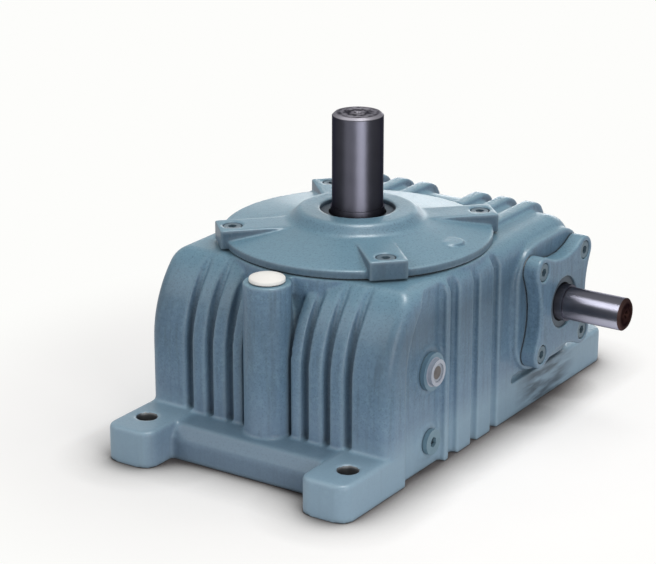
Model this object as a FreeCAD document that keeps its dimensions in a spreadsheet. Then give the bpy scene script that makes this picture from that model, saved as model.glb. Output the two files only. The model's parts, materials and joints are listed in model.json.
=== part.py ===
import FreeCAD, Part
import math
import os
from types import SimpleNamespace

import Sketcher

# Worm gear reducer with a vertical output shaft and a horizontal input shaft.
# Millimetres. The origin is where the output axis meets the base plane, Z is up,
# the worm lies along X behind the output axis (+Y) and its free end points to +X.

Vector = FreeCAD.Vector

SIZES = (
    # casting
    ("body_half_width", 104, "side faces from the output axis"),
    ("body_front", 120, "front face ahead of the output axis"),
    ("body_rear", 151, "rear face behind the output axis"),
    ("body_height", 140, "top face above the base"),
    ("lean_height", 65, "leaning part of the front face below the top face"),
    ("lean_radius", 80, "radius of the leaning front"),
    ("rear_round", 28, "rounding of the rear top edge"),
    ("shoulder_round", 14, "rounding of the side top edges"),
    ("corner_round", 9, "rounding of the front corners and front top edge"),
    ("casting_wall", 9.5, "wall of the casting"),
    ("floor_thickness", 14, "floor of the casting"),
    ("roof_thickness", 14, "roof of the casting"),
    ("cavity_round", 8, "rounding inside the casting"),
    ("groove_depth", 8, "depth of the front grooves"),
    ("inner_rib_width", 8.4, "width of the front rib beside the vent tube"),
    ("front_rib_width", 11.6, "width of the other front ribs"),
    ("front_rib_gap", 6.4, "groove between two front ribs"),
    ("tube_recess", 21, "half width of the recess beside the vent tube"),
    ("panel_depth", 5.5, "depth of the side panels and side grooves"),
    ("pilaster_depth", 22, "length of the front corner post along the side"),
    ("narrow_rib_place", 41, "narrow side rib ahead of the output axis"),
    ("narrow_rib_width", 6, "width of the narrow side rib"),
    ("side_rib_place", 16.5, "first wide side rib ahead of the output axis"),
    ("side_rib_pitch", 29, "pitch of the wide side ribs"),
    ("side_rib_width", 20, "width of a wide side rib"),
    ("rail_gap", 6, "height of the undercut between the base rail and a worm boss"),
    ("rail_start", 54, "front end of the undercut"),
    ("ridge_first", 25, "first rear ridge from the middle"),
    ("ridge_pitch", 22, "pitch of the rear ridges"),
    ("ridge_width", 11, "width of a rear ridge"),
    ("ridge_rise", 4, "rear ridges above the top and behind the rear face"),
    ("ridge_round", 20, "rounding of a ridge where it turns down"),
    ("tube_radius", 17.4, "outside of the vent tube"),
    ("tube_gap", 16.5, "vent tube axis ahead of the cover rim"),
    ("tube_drop", 1, "vent tube top below the top face"),
    ("vent_hole_radius", 7, "bore of the vent tube"),
    ("vent_hole_depth", 34, "depth of the vent bore"),
    ("boss_half", 50, "half side of the rounded worm boss"),
    ("boss_round", 30, "corner radius of the worm boss"),
    ("boss_rise", 5, "machined boss face beyond the side face"),
    ("inner_boss_wall", 8, "wall round a bearing inside the casting"),
    ("inner_boss_reach", 20, "length of the inner worm boss"),
    ("thread_room", 6, "room round the worm thread"),
    # feet
    ("foot_front", 175, "front edge of the feet ahead of the output axis"),
    ("foot_rear", 206, "rear edge of the feet behind the output axis"),
    ("foot_width", 40, "width of a foot"),
    ("foot_height", 27.5, "thickness of a foot"),
    ("foot_corner", 10, "corner radius of a foot"),
    ("foot_edge", 3, "rounding of the top edge of a foot"),
    ("foot_hole_dia", 15, "bolt hole in a foot"),
    ("foot_hole_edge", 17, "bolt hole from the side of the foot"),
    ("foot_hole_inset", 28.5, "bolt hole from the end of the foot"),
    ("web_inset", 27, "web between the feet behind the foot edge"),
    ("web_height", 15.5, "upright face of the web"),
    ("web_slope", 7, "depth of the web's slope"),
    ("web_top", 26, "top of the web"),
    # gears
    ("centre_distance", 100, "worm axis behind the output axis"),
    ("worm_height", 83, "worm axis above the base"),
    ("gear_module", 5, "axial module of the worm"),
    ("wheel_teeth", 30, "teeth of the worm wheel"),
    ("pressure_angle", 20, "half angle of the worm thread in degrees"),
    ("thread_turns", 4, "turns of the worm thread"),
    ("thread_thinning", 0.35, "thread flank set back from half a pitch"),
    ("slot_widening", 1, "tooth gap flank set back from half a pitch"),
    ("tip_clearance", 1, "root clearance of both gears"),
    ("rim_width", 36, "width of the bronze rim"),
    ("rim_overhang", 3, "rim edge beyond the throat"),
    ("rim_depth", 7, "bronze below the tooth root"),
    ("hub_length", 64, "length of the wheel hub"),
    ("hub_radius", 38, "outside of the wheel hub"),
    ("hub_web", 16, "web of the wheel centre"),
    ("hub_rim", 9, "iron below the bronze rim"),
    ("rim_screw_dia", 8, "screws in the joint of rim and centre"),
    ("rim_screw_length", 16, "length of those screws"),
    ("rim_screw_count", 6, "number of those screws"),
    # output shaft
    ("output_end_dia", 38, "output shaft end"),
    ("output_end_length", 70.2, "length of the output shaft end"),
    ("output_chamfer", 2, "chamfer of the output shaft end"),
    ("output_seal_dia", 40, "seal journal of the output shaft"),
    ("output_seat_dia", 50, "wheel seat of the output shaft"),
    ("output_collar_dia", 60, "collar below the wheel"),
    ("output_key_width", 10, "keyway of the output shaft end"),
    ("output_key_depth", 5, "depth of that keyway"),
    ("output_key_length", 56, "length of that keyway"),
    ("wheel_key_width", 14, "key below the wheel"),
    ("wheel_key_height", 9, "height of that key"),
    ("wheel_key_depth", 5.5, "key seat in the shaft"),
    ("wheel_key_length", 56, "length of that key"),
    ("spacer_length", 5, "sleeve between wheel and upper bearing"),
    ("spacer_wall", 6, "wall of that sleeve"),
    ("output_journal_gap", 1.5, "output journal beyond its cover"),
    ("keyway_turn", 45, "keyway of a shaft end round the shaft, in degrees"),
    ("centre_drill", 3, "radius of the centre holes"),
    # worm shaft
    ("input_end_dia", 25, "input shaft end"),
    ("input_journal_gap", 4.5, "input journal beyond its cover"),
    ("input_end_length", 47.3, "length of the input shaft end"),
    ("input_chamfer", 1.5, "chamfer of the input shaft end"),
    ("input_seal_dia", 28, "seal journal of the worm shaft"),
    ("input_key_width", 8, "keyway of the input shaft end"),
    ("input_key_depth", 4, "depth of that keyway"),
    ("input_key_length", 40, "length of that keyway"),
    # bearings
    ("output_bearing_bore", 45, "output bearings, bore"),
    ("output_bearing_outer", 85, "output bearings, outside"),
    ("output_bearing_width", 20.75, "output bearings, width"),
    ("output_cup_width", 16, "output bearings, width of the cup"),
    ("output_cone_width", 19, "output bearings, width of the cone"),
    ("output_ring_wall", 5, "output bearings, mean wall of the rings"),
    ("output_roller_length", 13, "output bearings, length of a roller"),
    ("output_rollers", 16, "output bearings, rollers"),
    ("worm_bearing_bore", 30, "worm bearings, bore"),
    ("worm_bearing_outer", 62, "worm bearings, outside"),
    ("worm_bearing_width", 17.25, "worm bearings, width"),
    ("worm_cup_width", 14, "worm bearings, width of the cup"),
    ("worm_cone_width", 16, "worm bearings, width of the cone"),
    ("worm_ring_wall", 4.1, "worm bearings, mean wall of the rings"),
    ("worm_roller_length", 10, "worm bearings, length of a roller"),
    ("worm_rollers", 14, "worm bearings, rollers"),
    ("roller_tilt", 12, "roller axis to bearing axis in degrees"),
    ("roller_clearance", 0.2, "play of the rollers"),
    ("cage_thickness", 1.4, "sheet of the cage"),
    ("cage_margin", 1.8, "cage beyond the roller ends"),
    ("cone_rib", 2.6, "height of the cone's thrust rib"),
    # covers
    ("bearing_rise", 0.75, "back of the upper bearing above the top face"),
    ("gasket_thickness", 1, "gaskets of the top and bottom covers"),
    ("gasket_inset", 2, "edge of the top gasket inside the cover rim"),
    ("shim_thickness", 0.5, "shims below the worm covers"),
    ("cover_radius", 100.5, "rim of the top cover"),
    ("cover_rim", 6, "height of the cover rim"),
    ("cover_crown", 8.5, "rise of the cover from rim to boss"),
    ("cover_boss_radius", 51, "foot of the cover boss"),
    ("cover_boss_top", 43, "top of the cover boss"),
    ("cover_boss_rise", 8, "height of the cover boss"),
    ("cover_boss_edge", 5, "rounding of the cover boss"),
    ("cover_boss_foot", 9, "hollow rounding at the foot of the cover boss"),
    ("cover_land", 14.5, "cover rim round the opening in the top of the casting"),
    ("cover_spigot", 6, "depth of the cover's spigot"),
    ("cover_spigot_wall", 9, "wall of the spigot"),
    ("cover_plate_drop", 3, "underside of the cover plate below the seat"),
    ("cover_hub_wall", 8.5, "wall round the upper bearing"),
    ("lug_width", 28, "width of a cover lug"),
    ("lug_overhang", 4, "outer face of a cover lug beyond the rim"),
    ("lug_rise", 14.5, "lug top above the cover seat"),
    ("cover_bolt_inset", 7, "cover bolts inside the rim"),
    ("pad_radius", 8, "bare round pad on the cover"),
    ("pad_rise", 1.2, "height of that pad"),
    ("pad_inset", 19.5, "pad inside the rim"),
    ("pad_angle", 44, "pad round the output axis from the rear right lug, in degrees"),
    ("output_seal_depth", 3.5, "output seal below the cover face"),
    ("input_seal_depth", 2, "input seal below the cover face"),
    ("seal_width", 8, "width of the oil seals"),
    ("output_seal_outer", 56, "output seal, outside"),
    ("input_seal_outer", 40, "input seal, outside"),
    ("seal_shelf", 4, "shelf behind an oil seal"),
    ("running_clearance", 0.08, "play of a shaft in its seal lip"),
    ("shaft_clearance", 1, "play of a shaft in a cover"),
    ("fit_clearance", 0.05, "radial play of spigots and stems"),
    ("base_plate_gap", 2, "bottom cover above the base plane"),
    ("base_plate_thickness", 8, "bottom cover"),
    ("base_plate_radius", 58, "bottom cover"),
    ("base_plate_spigot", 4, "spigot of the bottom cover"),
    ("base_bolt_circle", 50.5, "radius of the bottom bolt circle"),
    ("worm_cover_thickness", 12.6, "input cover flange"),
    ("blind_cover_thickness", 10, "blind cover flange"),
    ("worm_bolt_offset", 32.5, "worm cover bolts from the worm axis, each way"),
    ("worm_ear_radius", 11, "ear round a worm cover bolt"),
    ("worm_cover_waist", 35.5, "worm cover between two ears"),
    ("worm_spigot", 6.75, "spigot of the worm covers"),
    ("worm_spigot_wall", 5, "wall of that spigot"),
    ("worm_cover_edge", 2, "rounding of the worm covers"),
    # fasteners and fittings
    ("screw_dia", 8, "socket screws of the covers"),
    ("screw_grip", 13, "thread of a cover screw in the casting"),
    ("screw_head_dia", 13, "head of those screws"),
    ("screw_head_height", 8, "head height of those screws"),
    ("screw_hex", 6, "hexagon across flats"),
    ("screw_hex_depth", 4, "depth of the hexagon"),
    ("screw_sink", 1, "head below the surface"),
    ("small_screw_dia", 6, "socket screws of the bottom cover"),
    ("small_screw_grip", 12, "thread of a bottom screw in the casting"),
    ("small_head_dia", 10, "head of those screws"),
    ("small_head_height", 4, "head height of those screws"),
    ("small_hex", 4, "hexagon across flats"),
    ("small_hex_depth", 2, "depth of the hexagon"),
    ("thread_gap", 0.1, "radial play of a screw in its hole"),
    ("head_gap", 0.8, "radial play of a head in its recess"),
    ("drill_run", 2, "hole beyond the end of a screw"),
    ("vent_cap_radius", 13, "white vent cap"),
    ("vent_cap_rim", 3.2, "upright edge of the vent cap"),
    ("vent_cap_dome", 2.6, "dome of the vent cap"),
    ("vent_stem_length", 14, "stem of the vent cap"),
    ("gauge_place", 61, "oil gauge ahead of the output axis"),
    ("gauge_height", 75, "oil gauge above the base"),
    ("gauge_pad_radius", 18, "cast pad below the gauge"),
    ("gauge_flange_radius", 14, "flange of the gauge"),
    ("gauge_flange", 3, "thickness of that flange"),
    ("gauge_radius", 9.8, "barrel of the gauge"),
    ("gauge_reach", 3.5, "barrel beyond the flange"),
    ("gauge_stem_radius", 8, "stem of the gauge"),
    ("gauge_window_radius", 7, "window of the gauge"),
    ("gauge_window_depth", 2, "thickness of the window"),
    ("drain_place", 60.5, "drain plug ahead of the output axis"),
    ("drain_height", 21, "drain plug above the base"),
    ("drain_pad_radius", 13, "cast pad below the drain plug"),
    ("drain_head_radius", 9.5, "head of the drain plug"),
    ("drain_head", 3, "thickness of that head"),
    ("drain_stem_radius", 6, "stem of the drain plug"),
    ("drain_hex", 7, "hexagon across flats"),
    ("drain_hex_depth", 3.2, "depth of the hexagon"),
    ("fitting_pad", 1.5, "rise of the cast pads below the fittings"),
    ("fitting_washer", 1, "washers below the fittings"),
    ("fitting_stem_length", 12, "stems of the fittings"),
)

doc = FreeCAD.newDocument("worm_reducer")
sheet = doc.addObject("Spreadsheet::Sheet", "sizes")
for row, (alias, number, meaning) in enumerate(SIZES, start=1):
    sheet.set(f"A{row}", meaning)
    sheet.set(f"B{row}", str(number))
    sheet.setAlias(f"B{row}", alias)
doc.recompute()


class Size:
    """A number that also knows its formula in the spreadsheet."""

    def __init__(self, value, text):
        self.value = value
        self.text = text

    def __add__(self, other):
        other = as_size(other)
        return Size(self.value + other.value, f"({self.text} + {other.text})")

    def __sub__(self, other):
        other = as_size(other)
        return Size(self.value - other.value, f"({self.text} - {other.text})")

    def __mul__(self, other):
        other = as_size(other)
        return Size(self.value * other.value, f"({self.text} * {other.text})")

    def __truediv__(self, other):
        other = as_size(other)
        return Size(self.value / other.value, f"({self.text} / {other.text})")

    def __radd__(self, other):
        return as_size(other) + self

    def __rsub__(self, other):
        return as_size(other) - self

    def __rmul__(self, other):
        return as_size(other) * self

    def __neg__(self):
        return as_size(0) - self


def as_size(number):
    return number if isinstance(number, Size) else Size(float(number), f"({float(number)})")


def square_root(size):
    return Size(math.sqrt(size.value), f"sqrt({size.text})")


def sine(angle):
    return Size(math.sin(math.radians(angle.value)), f"sin({angle.text} * 1 deg)")


def cosine(angle):
    return Size(math.cos(math.radians(angle.value)), f"cos({angle.text} * 1 deg)")


def tangent(angle):
    return Size(math.tan(math.radians(angle.value)), f"tan({angle.text} * 1 deg)")


def arc_tangent(size):
    return Size(math.degrees(math.atan(size.value)), f"(atan({size.text}) / 1 deg)")


d = SimpleNamespace(**{alias: Size(float(number), f"sizes.{alias}") for alias, number, _ in SIZES})


def bind(thing, path, size):
    thing.setExpression(path, as_size(size).text)


def origin_feature(body, role):
    return next(feature for feature in body.Origin.OriginFeatures if feature.Role == role)


def new_body(label, place=(0, 0, 0), rotation=None):
    body = doc.addObject("PartDesign::Body", label)
    body.Label = label
    if rotation is not None:
        body.Placement = FreeCAD.Placement(Vector(), rotation)
    for axis, size in zip("xyz", place):
        bind(body, f"Placement.Base.{axis}", size)
    return body


def new_sketch(body, plane, shift=(0, 0, 0), turn=None, turn_axis=(0, 0, 1)):
    sketch = body.newObject("Sketcher::SketchObject", f"{body.Name}_sketch")
    sketch.AttachmentSupport = [(origin_feature(body, plane), "")]
    sketch.MapMode = "FlatFace"
    if turn is not None:
        rotation = FreeCAD.Rotation(Vector(*turn_axis), turn.value)
        sketch.AttachmentOffset = FreeCAD.Placement(Vector(), rotation)
        bind(sketch, "AttachmentOffset.Rotation.Angle", turn)
    for axis, size in zip("xyz", shift):
        bind(sketch, f"AttachmentOffset.Base.{axis}", size)
    return sketch


def pin_point(sketch, geometry, point, x, y):
    """Hold one point of a sketch at x, y from the sketch origin."""
    for kind, size, axis in (("DistanceX", x, -2), ("DistanceY", y, -1)):
        size = as_size(size)
        if abs(size.value) < 1e-9:
            sketch.addConstraint(Sketcher.Constraint("PointOnObject", geometry, point, axis))
        else:
            held = sketch.addConstraint(
                Sketcher.Constraint(kind, -1, 1, geometry, point, size.value)
            )
            bind(sketch, f"Constraints[{held}]", size)


def arc_between(start, end, radius, left):
    """Short arc from start to end with its centre to the left or right of the way."""
    chord = end - start
    rise = math.sqrt(max(radius * radius - chord.Length ** 2 / 4, 0))
    side = Vector(-chord.y, chord.x, 0).normalize() * (1 if left else -1)
    centre = (start + end) * 0.5 + side * rise
    first, last = (start, end) if left else (end, start)
    angles = [math.atan2(point.y - centre.y, point.x - centre.x) for point in (first, last)]
    return Part.ArcOfCircle(Part.Circle(centre, Vector(0, 0, 1), radius), *angles)


def outline(sketch, corners):
    """Closed outline. A corner is x, y, or x, y, radius, side for an arc that ends there."""
    points = [Vector(as_size(corner[0]).value, as_size(corner[1]).value, 0) for corner in corners]
    first = sketch.GeometryCount
    ends = []
    for index, corner in enumerate(corners):
        start, end = points[index - 1], points[index]
        if len(corner) == 2:
            sketch.addGeometry(Part.LineSegment(start, end))
            ends.append((1, 2))
        else:
            left = corner[3] == "left"
            sketch.addGeometry(arc_between(start, end, as_size(corner[2]).value, left))
            ends.append((1, 2) if left else (2, 1))
    count = len(corners)
    for index in range(count):
        following = (index + 1) % count
        sketch.addConstraint(Sketcher.Constraint(
            "Coincident", first + index, ends[index][1], first + following, ends[following][0]
        ))
    for index, corner in enumerate(corners):
        pin_point(sketch, first + index, ends[index][1], corner[0], corner[1])
        if len(corner) > 2:
            held = sketch.addConstraint(
                Sketcher.Constraint("Radius", first + index, as_size(corner[2]).value)
            )
            bind(sketch, f"Constraints[{held}]", corner[2])


def circle(sketch, x, y, radius):
    geometry = sketch.addGeometry(Part.Circle(
        Vector(as_size(x).value, as_size(y).value, 0), Vector(0, 0, 1), as_size(radius).value
    ))
    pin_point(sketch, geometry, 3, x, y)
    held = sketch.addConstraint(Sketcher.Constraint("Radius", geometry, as_size(radius).value))
    bind(sketch, f"Constraints[{held}]", radius)


def rectangle(sketch, x_low, x_high, y_low, y_high):
    outline(sketch, [(x_low, y_low), (x_high, y_low), (x_high, y_high), (x_low, y_high)])


def hexagon(sketch, x, y, across_flats):
    """Hexagon round x, y with two flats along the sketch's y axis."""
    half = across_flats / 2
    corner = across_flats / math.sqrt(3)
    outline(sketch, [
        (x + half, y - corner / 2), (x + half, y + corner / 2), (x, y + corner),
        (x - half, y + corner / 2), (x - half, y - corner / 2), (x, y - corner),
    ])


def extrude(body, kind, sketch, length, symmetric=False, reverse=False):
    feature = body.newObject(f"PartDesign::{kind}", f"{body.Name}_{kind.lower()}")
    feature.Profile = sketch
    feature.SideType = "Symmetric" if symmetric else "One side"
    feature.Reversed = reverse
    bind(feature, "Length", length)
    return feature


def revolve(body, kind, sketch, axis):
    feature = body.newObject(f"PartDesign::{kind}", f"{body.Name}_{kind.lower()}")
    feature.Profile = sketch
    feature.ReferenceAxis = axis
    feature.Angle = 360
    return feature


def polar(body, feature, count):
    pattern = body.newObject("PartDesign::PolarPattern", f"{body.Name}_pattern")
    pattern.Originals = [feature]
    pattern.Axis = (origin_feature(body, "Z_Axis"), [""])
    pattern.Angle = 360
    bind(pattern, "Occurrences", count)
    body.Tip = pattern
    return pattern


def round_edges(body, base, radius, wanted):
    """Round the edges of the base feature whose middle point passes the test."""
    doc.recompute()
    names = []
    for number, edge in enumerate(base.Shape.Edges, start=1):
        middle = edge.valueAt((edge.FirstParameter + edge.LastParameter) / 2)
        if wanted(middle):
            names.append(f"Edge{number}")
    feature = body.newObject("PartDesign::Fillet", f"{body.Name}_fillet")
    feature.Base = (base, names)
    bind(feature, "Radius", radius)
    return feature


def near(value, size):
    return abs(value - as_size(size).value) < 0.01


def turned(label, corners, place=(0, 0, 0), rotation=None):
    """Body turned about its Z axis from a radius, height outline."""
    body = new_body(label, place, rotation)
    sketch = new_sketch(body, "XZ_Plane")
    outline(sketch, corners)
    revolve(body, "Revolution", sketch, (sketch, ["V_Axis"]))
    return body


def block(label, x_low, x_high, y_low, y_high, z_low, z_high):
    box = doc.addObject("Part::Box", label)
    for low, high, side, axis in (
        (x_low, x_high, "Length", "x"), (y_low, y_high, "Width", "y"), (z_low, z_high, "Height", "z")
    ):
        bind(box, side, as_size(high) - low)
        bind(box, f"Placement.Base.{axis}", low)
    return box


def rod(label, radius, length, place, rotation=None):
    cylinder = doc.addObject("Part::Cylinder", label)
    if rotation is not None:
        cylinder.Placement = FreeCAD.Placement(Vector(), rotation)
    bind(cylinder, "Radius", radius)
    bind(cylinder, "Height", length)
    for axis, size in zip("xyz", place):
        bind(cylinder, f"Placement.Base.{axis}", size)
    return cylinder


def fuse(label, things):
    joined = doc.addObject("Part::MultiFuse", label)
    joined.Shapes = things
    joined.Refine = True
    return joined


def combine(kind, label, base, tool):
    result = doc.addObject(f"Part::{kind}", label)
    result.Label = label
    result.Base = base
    result.Tool = tool
    result.Refine = True
    return result


# directions: a piece's own Z axis laid along X, the wheel side of the worm at its own X
ALONG_X = FreeCAD.Rotation(Vector(0, -1, 0), Vector(0, 0, -1), Vector(1, 0, 0), "ZXY")
AGAINST_X = FreeCAD.Rotation(Vector(0, -1, 0), Vector(0, 0, 1), Vector(-1, 0, 0), "ZXY")
UPSIDE_DOWN = FreeCAD.Rotation(Vector(1, 0, 0), 180)
QUARTER_TURN = FreeCAD.Rotation(Vector(0, 0, 1), 90)
DIAGONAL = FreeCAD.Rotation(Vector(0, 0, 1), 45)
LYING_X = FreeCAD.Rotation(Vector(0, 1, 0), 90)
LYING_Y = FreeCAD.Rotation(Vector(1, 0, 0), -90)

# heights along the output axis
lower_cup_z = d.base_plate_gap + d.base_plate_thickness + d.base_plate_spigot
gasket_top_z = d.base_plate_gap + d.base_plate_thickness + d.gasket_thickness
lower_cone_z = lower_cup_z + d.output_bearing_width
upper_cup_z = d.body_height + d.bearing_rise
upper_cone_z = upper_cup_z - d.output_bearing_width
hub_top_z = upper_cone_z - d.spacer_length
hub_bottom_z = hub_top_z - d.hub_length
seat_z = d.body_height + d.gasket_thickness
rim_z = seat_z + d.cover_rim
crown_z = rim_z + d.cover_crown
cover_top_z = crown_z + d.cover_boss_rise
lug_z = seat_z + d.lug_rise
output_end_z = cover_top_z + d.output_journal_gap
output_tip_z = output_end_z + d.output_end_length

# stations along the worm axis
boss_face = d.body_half_width + d.boss_rise
cup_x = boss_face + d.shim_thickness - d.worm_spigot
cone_x = cup_x - d.worm_bearing_width
worm_seat_x = boss_face + d.shim_thickness
input_face_x = worm_seat_x + d.worm_cover_thickness
input_end_x = input_face_x + d.input_journal_gap
input_tip_x = input_end_x + d.input_end_length

# gear sizes
wheel_pitch_radius = d.gear_module * d.wheel_teeth / 2
worm_pitch_radius = d.centre_distance - wheel_pitch_radius
axial_pitch = d.gear_module * math.pi
thread_tip = worm_pitch_radius + d.gear_module
thread_root = worm_pitch_radius - d.gear_module - d.tip_clearance
wheel_throat = wheel_pitch_radius + d.gear_module
wheel_root = wheel_pitch_radius - d.gear_module - d.tip_clearance
rim_seat = wheel_root - d.rim_depth
lead_angle = arc_tangent(d.gear_module / (worm_pitch_radius * 2))

# places on the casting that follow its sides, its front and its cover
panel_x = d.body_half_width - d.panel_depth
groove_y = d.body_front - d.groove_depth
lean_start = d.body_height - d.lean_height
front_setback = d.lean_radius - square_root(d.lean_radius * d.lean_radius - d.lean_height * d.lean_height)
floor_setback = front_setback - d.groove_depth
floor_radius = (d.lean_height * d.lean_height + floor_setback * floor_setback) / (floor_setback * 2)
cover_opening = d.cover_radius - d.cover_land
cover_bolt_circle = d.cover_radius - d.cover_bolt_inset
lug_reach = d.cover_radius + d.lug_overhang
pad_reach = d.cover_radius - d.pad_inset
tube_place = d.cover_radius + d.tube_gap


# outer form of the casting: a block with a leaning front and rounded shoulders
hull = new_body("hull")
hull_sketch = new_sketch(hull, "YZ_Plane")
outline(hull_sketch, [
    (-d.body_front, 0),
    (d.body_rear, 0),
    (d.body_rear, d.body_height - d.rear_round),
    (d.body_rear - d.rear_round, d.body_height, d.rear_round, "left"),
    (front_setback - d.body_front, d.body_height),
    (-d.body_front, lean_start, d.lean_radius, "left"),
])
hull_pad = extrude(hull, "Pad", hull_sketch, d.body_half_width * 2, symmetric=True)
hull_shoulders = round_edges(
    hull, hull_pad, d.shoulder_round,
    lambda at: near(abs(at.x), d.body_half_width)
    and at.z > 1
    and (near(at.z, d.body_height) or at.y > d.body_rear.value - d.rear_round.value),
)
round_edges(
    hull, hull_shoulders, d.corner_round,
    lambda at: at.z > 1
    and at.y < front_setback.value - d.body_front.value + 0.01
    and not (near(at.x, 0) and near(at.z, lean_start)),
)

# core of the casting: the floors of the grooves and the side panels
core = new_body("core")
core_sketch = new_sketch(core, "YZ_Plane")
outline(core_sketch, [
    (-groove_y, 0),
    (d.body_rear, 0),
    (d.body_rear, d.body_height),
    (front_setback - d.body_front, d.body_height),
    (-groove_y, lean_start, floor_radius, "left"),
])
extrude(core, "Pad", core_sketch, panel_x * 2, symmetric=True)

# ribs: everything of the outer form that stands in front of the core
ribs = [core]
rib_inner = d.tube_recess
for rib_width in (d.inner_rib_width, d.front_rib_width, d.front_rib_width):
    rib_outer = rib_inner + rib_width
    ribs.append(block("rib_right", rib_inner, rib_outer, -d.body_front, 0, 0, d.body_height))
    ribs.append(block("rib_left", -rib_outer, -rib_inner, -d.body_front, 0, 0, d.body_height))
    rib_inner = rib_outer + d.front_rib_gap

# corner posts: their rear edge leans back with the front face
post_rear = d.pilaster_depth - d.body_front
for way in (-1, 1):
    post = new_body("corner_post", ((d.body_half_width + rib_inner) / 2 * way, 0, 0))
    post_sketch = new_sketch(post, "YZ_Plane")
    outline(post_sketch, [
        (-d.body_front, 0),
        (post_rear, 0),
        (post_rear, lean_start),
        (post_rear + front_setback, d.body_height, d.lean_radius, "right"),
        (-d.body_front, d.body_height),
    ])
    extrude(post, "Pad", post_sketch, d.body_half_width - rib_inner, symmetric=True)
    ribs.append(post)

narrow_half = d.narrow_rib_width / 2
side_spans = [(-d.narrow_rib_place - narrow_half, narrow_half - d.narrow_rib_place)]
for number in range(2):
    middle = d.side_rib_pitch * number - d.side_rib_place
    side_spans.append((middle - d.side_rib_width / 2, middle + d.side_rib_width / 2))
side_spans.append((d.side_rib_pitch * 2 - d.side_rib_place - d.side_rib_width / 2, d.body_rear))
for low, high in side_spans:
    ribs.append(block("side_rib", -d.body_half_width, d.body_half_width, low, high, 0, d.body_height))
shell = combine("Common", "ribbed_form", hull, fuse("core_and_ribs", ribs))


def foot(name, y_low, y_high, x_low):
    """A foot with rounded corners and a rounded top edge."""
    body = new_body(name, (x_low, y_low, 0))
    sketch = new_sketch(body, "XY_Plane")
    length = as_size(y_high) - y_low
    rounding = d.foot_corner
    outline(sketch, [
        (d.foot_width - rounding, 0),
        (d.foot_width, rounding, rounding, "left"),
        (d.foot_width, length - rounding),
        (d.foot_width - rounding, length, rounding, "left"),
        (rounding, length),
        (0, length - rounding, rounding, "left"),
        (0, rounding),
        (rounding, 0, rounding, "left"),
    ])
    pad = extrude(body, "Pad", sketch, d.foot_height)
    round_edges(body, pad, d.foot_edge, lambda at: near(at.z, d.foot_height))
    return body


additions = [shell]
foot_root = d.foot_corner + d.casting_wall + d.groove_depth
for side, x_low in (("right", d.body_half_width - d.foot_width), ("left", -d.body_half_width)):
    additions.append(foot(f"front_{side}_foot", -d.foot_front, foot_root - d.body_front, x_low))
    additions.append(foot(f"rear_{side}_foot", d.body_rear - foot_root, d.foot_rear, x_low))


def web(name, edge, wall, way):
    """Web between two feet: upright face, slope and flat top."""
    body = new_body(name)
    sketch = new_sketch(body, "YZ_Plane")
    corners = [
        (wall, 0),
        (wall, d.web_top),
        (edge - d.web_slope * way, d.web_top),
        (edge, d.web_height),
        (edge, 0),
    ]
    outline(sketch, corners)
    pad = extrude(body, "Pad", sketch, (d.body_half_width - d.foot_width / 2) * 2, symmetric=True)
    round_edges(body, pad, d.foot_edge, lambda at: near(at.x, 0) and at.z > d.web_height.value - 1
                and abs(at.y) > abs(wall.value) + 1)
    return body


additions.append(web("front_web", d.web_inset - d.foot_front, -groove_y, -1))
additions.append(web("rear_web", d.foot_rear - d.web_inset, d.body_rear - d.groove_depth, 1))


# rounded square bosses that carry the worm bearings
boss = new_body("worm_boss", (0, d.centre_distance, d.worm_height), ALONG_X)
boss_sketch = new_sketch(boss, "XY_Plane")
flat = d.boss_half - d.boss_round
outline(boss_sketch, [
    (d.boss_half, flat),
    (flat, d.boss_half, d.boss_round, "left"),
    (-flat, d.boss_half),
    (-d.boss_half, flat, d.boss_round, "left"),
    (-d.boss_half, -flat),
    (-flat, -d.boss_half, d.boss_round, "left"),
    (flat, -d.boss_half),
    (d.boss_half, -flat, d.boss_round, "left"),
])
extrude(boss, "Pad", boss_sketch, boss_face * 2, symmetric=True)
additions.append(boss)

# ridges that run from the cover over the rear top edge
ridge_top = d.body_height + d.ridge_rise
ridge_back = d.body_rear + d.ridge_rise
for number in range(3):
    for way in (-1, 1):
        ridge = new_body("ridge", ((d.ridge_first + d.ridge_pitch * number) * way, 0, 0))
        ridge_sketch = new_sketch(ridge, "YZ_Plane")
        outline(ridge_sketch, [
            (0, d.web_height),
            (ridge_back, d.web_height),
            (ridge_back, ridge_top - d.ridge_round),
            (ridge_back - d.ridge_round, ridge_top, d.ridge_round, "left"),
            (0, ridge_top),
        ])
        extrude(ridge, "Pad", ridge_sketch, d.ridge_width, symmetric=True)
        additions.append(ridge)

# cover seat, vent tube and the pads below the fittings
roof_bottom = d.body_height - d.roof_thickness
additions.append(rod("cover_seat", d.cover_radius, d.roof_thickness, (0, 0, roof_bottom)))
tube_top = d.body_height - d.tube_drop
additions.append(rod("vent_tube", d.tube_radius, tube_top - d.web_height, (0, -tube_place, d.web_height)))
for label, radius, place, height in (
    ("gauge_pad", d.gauge_pad_radius, d.gauge_place, d.gauge_height),
    ("drain_pad", d.drain_pad_radius, d.drain_place, d.drain_height),
):
    start = panel_x - d.casting_wall / 2
    additions.append(rod(
        label, radius, panel_x + d.fitting_pad - start, (start, -place, height), LYING_X
    ))
outside = fuse("casting_outside", additions)

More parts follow.
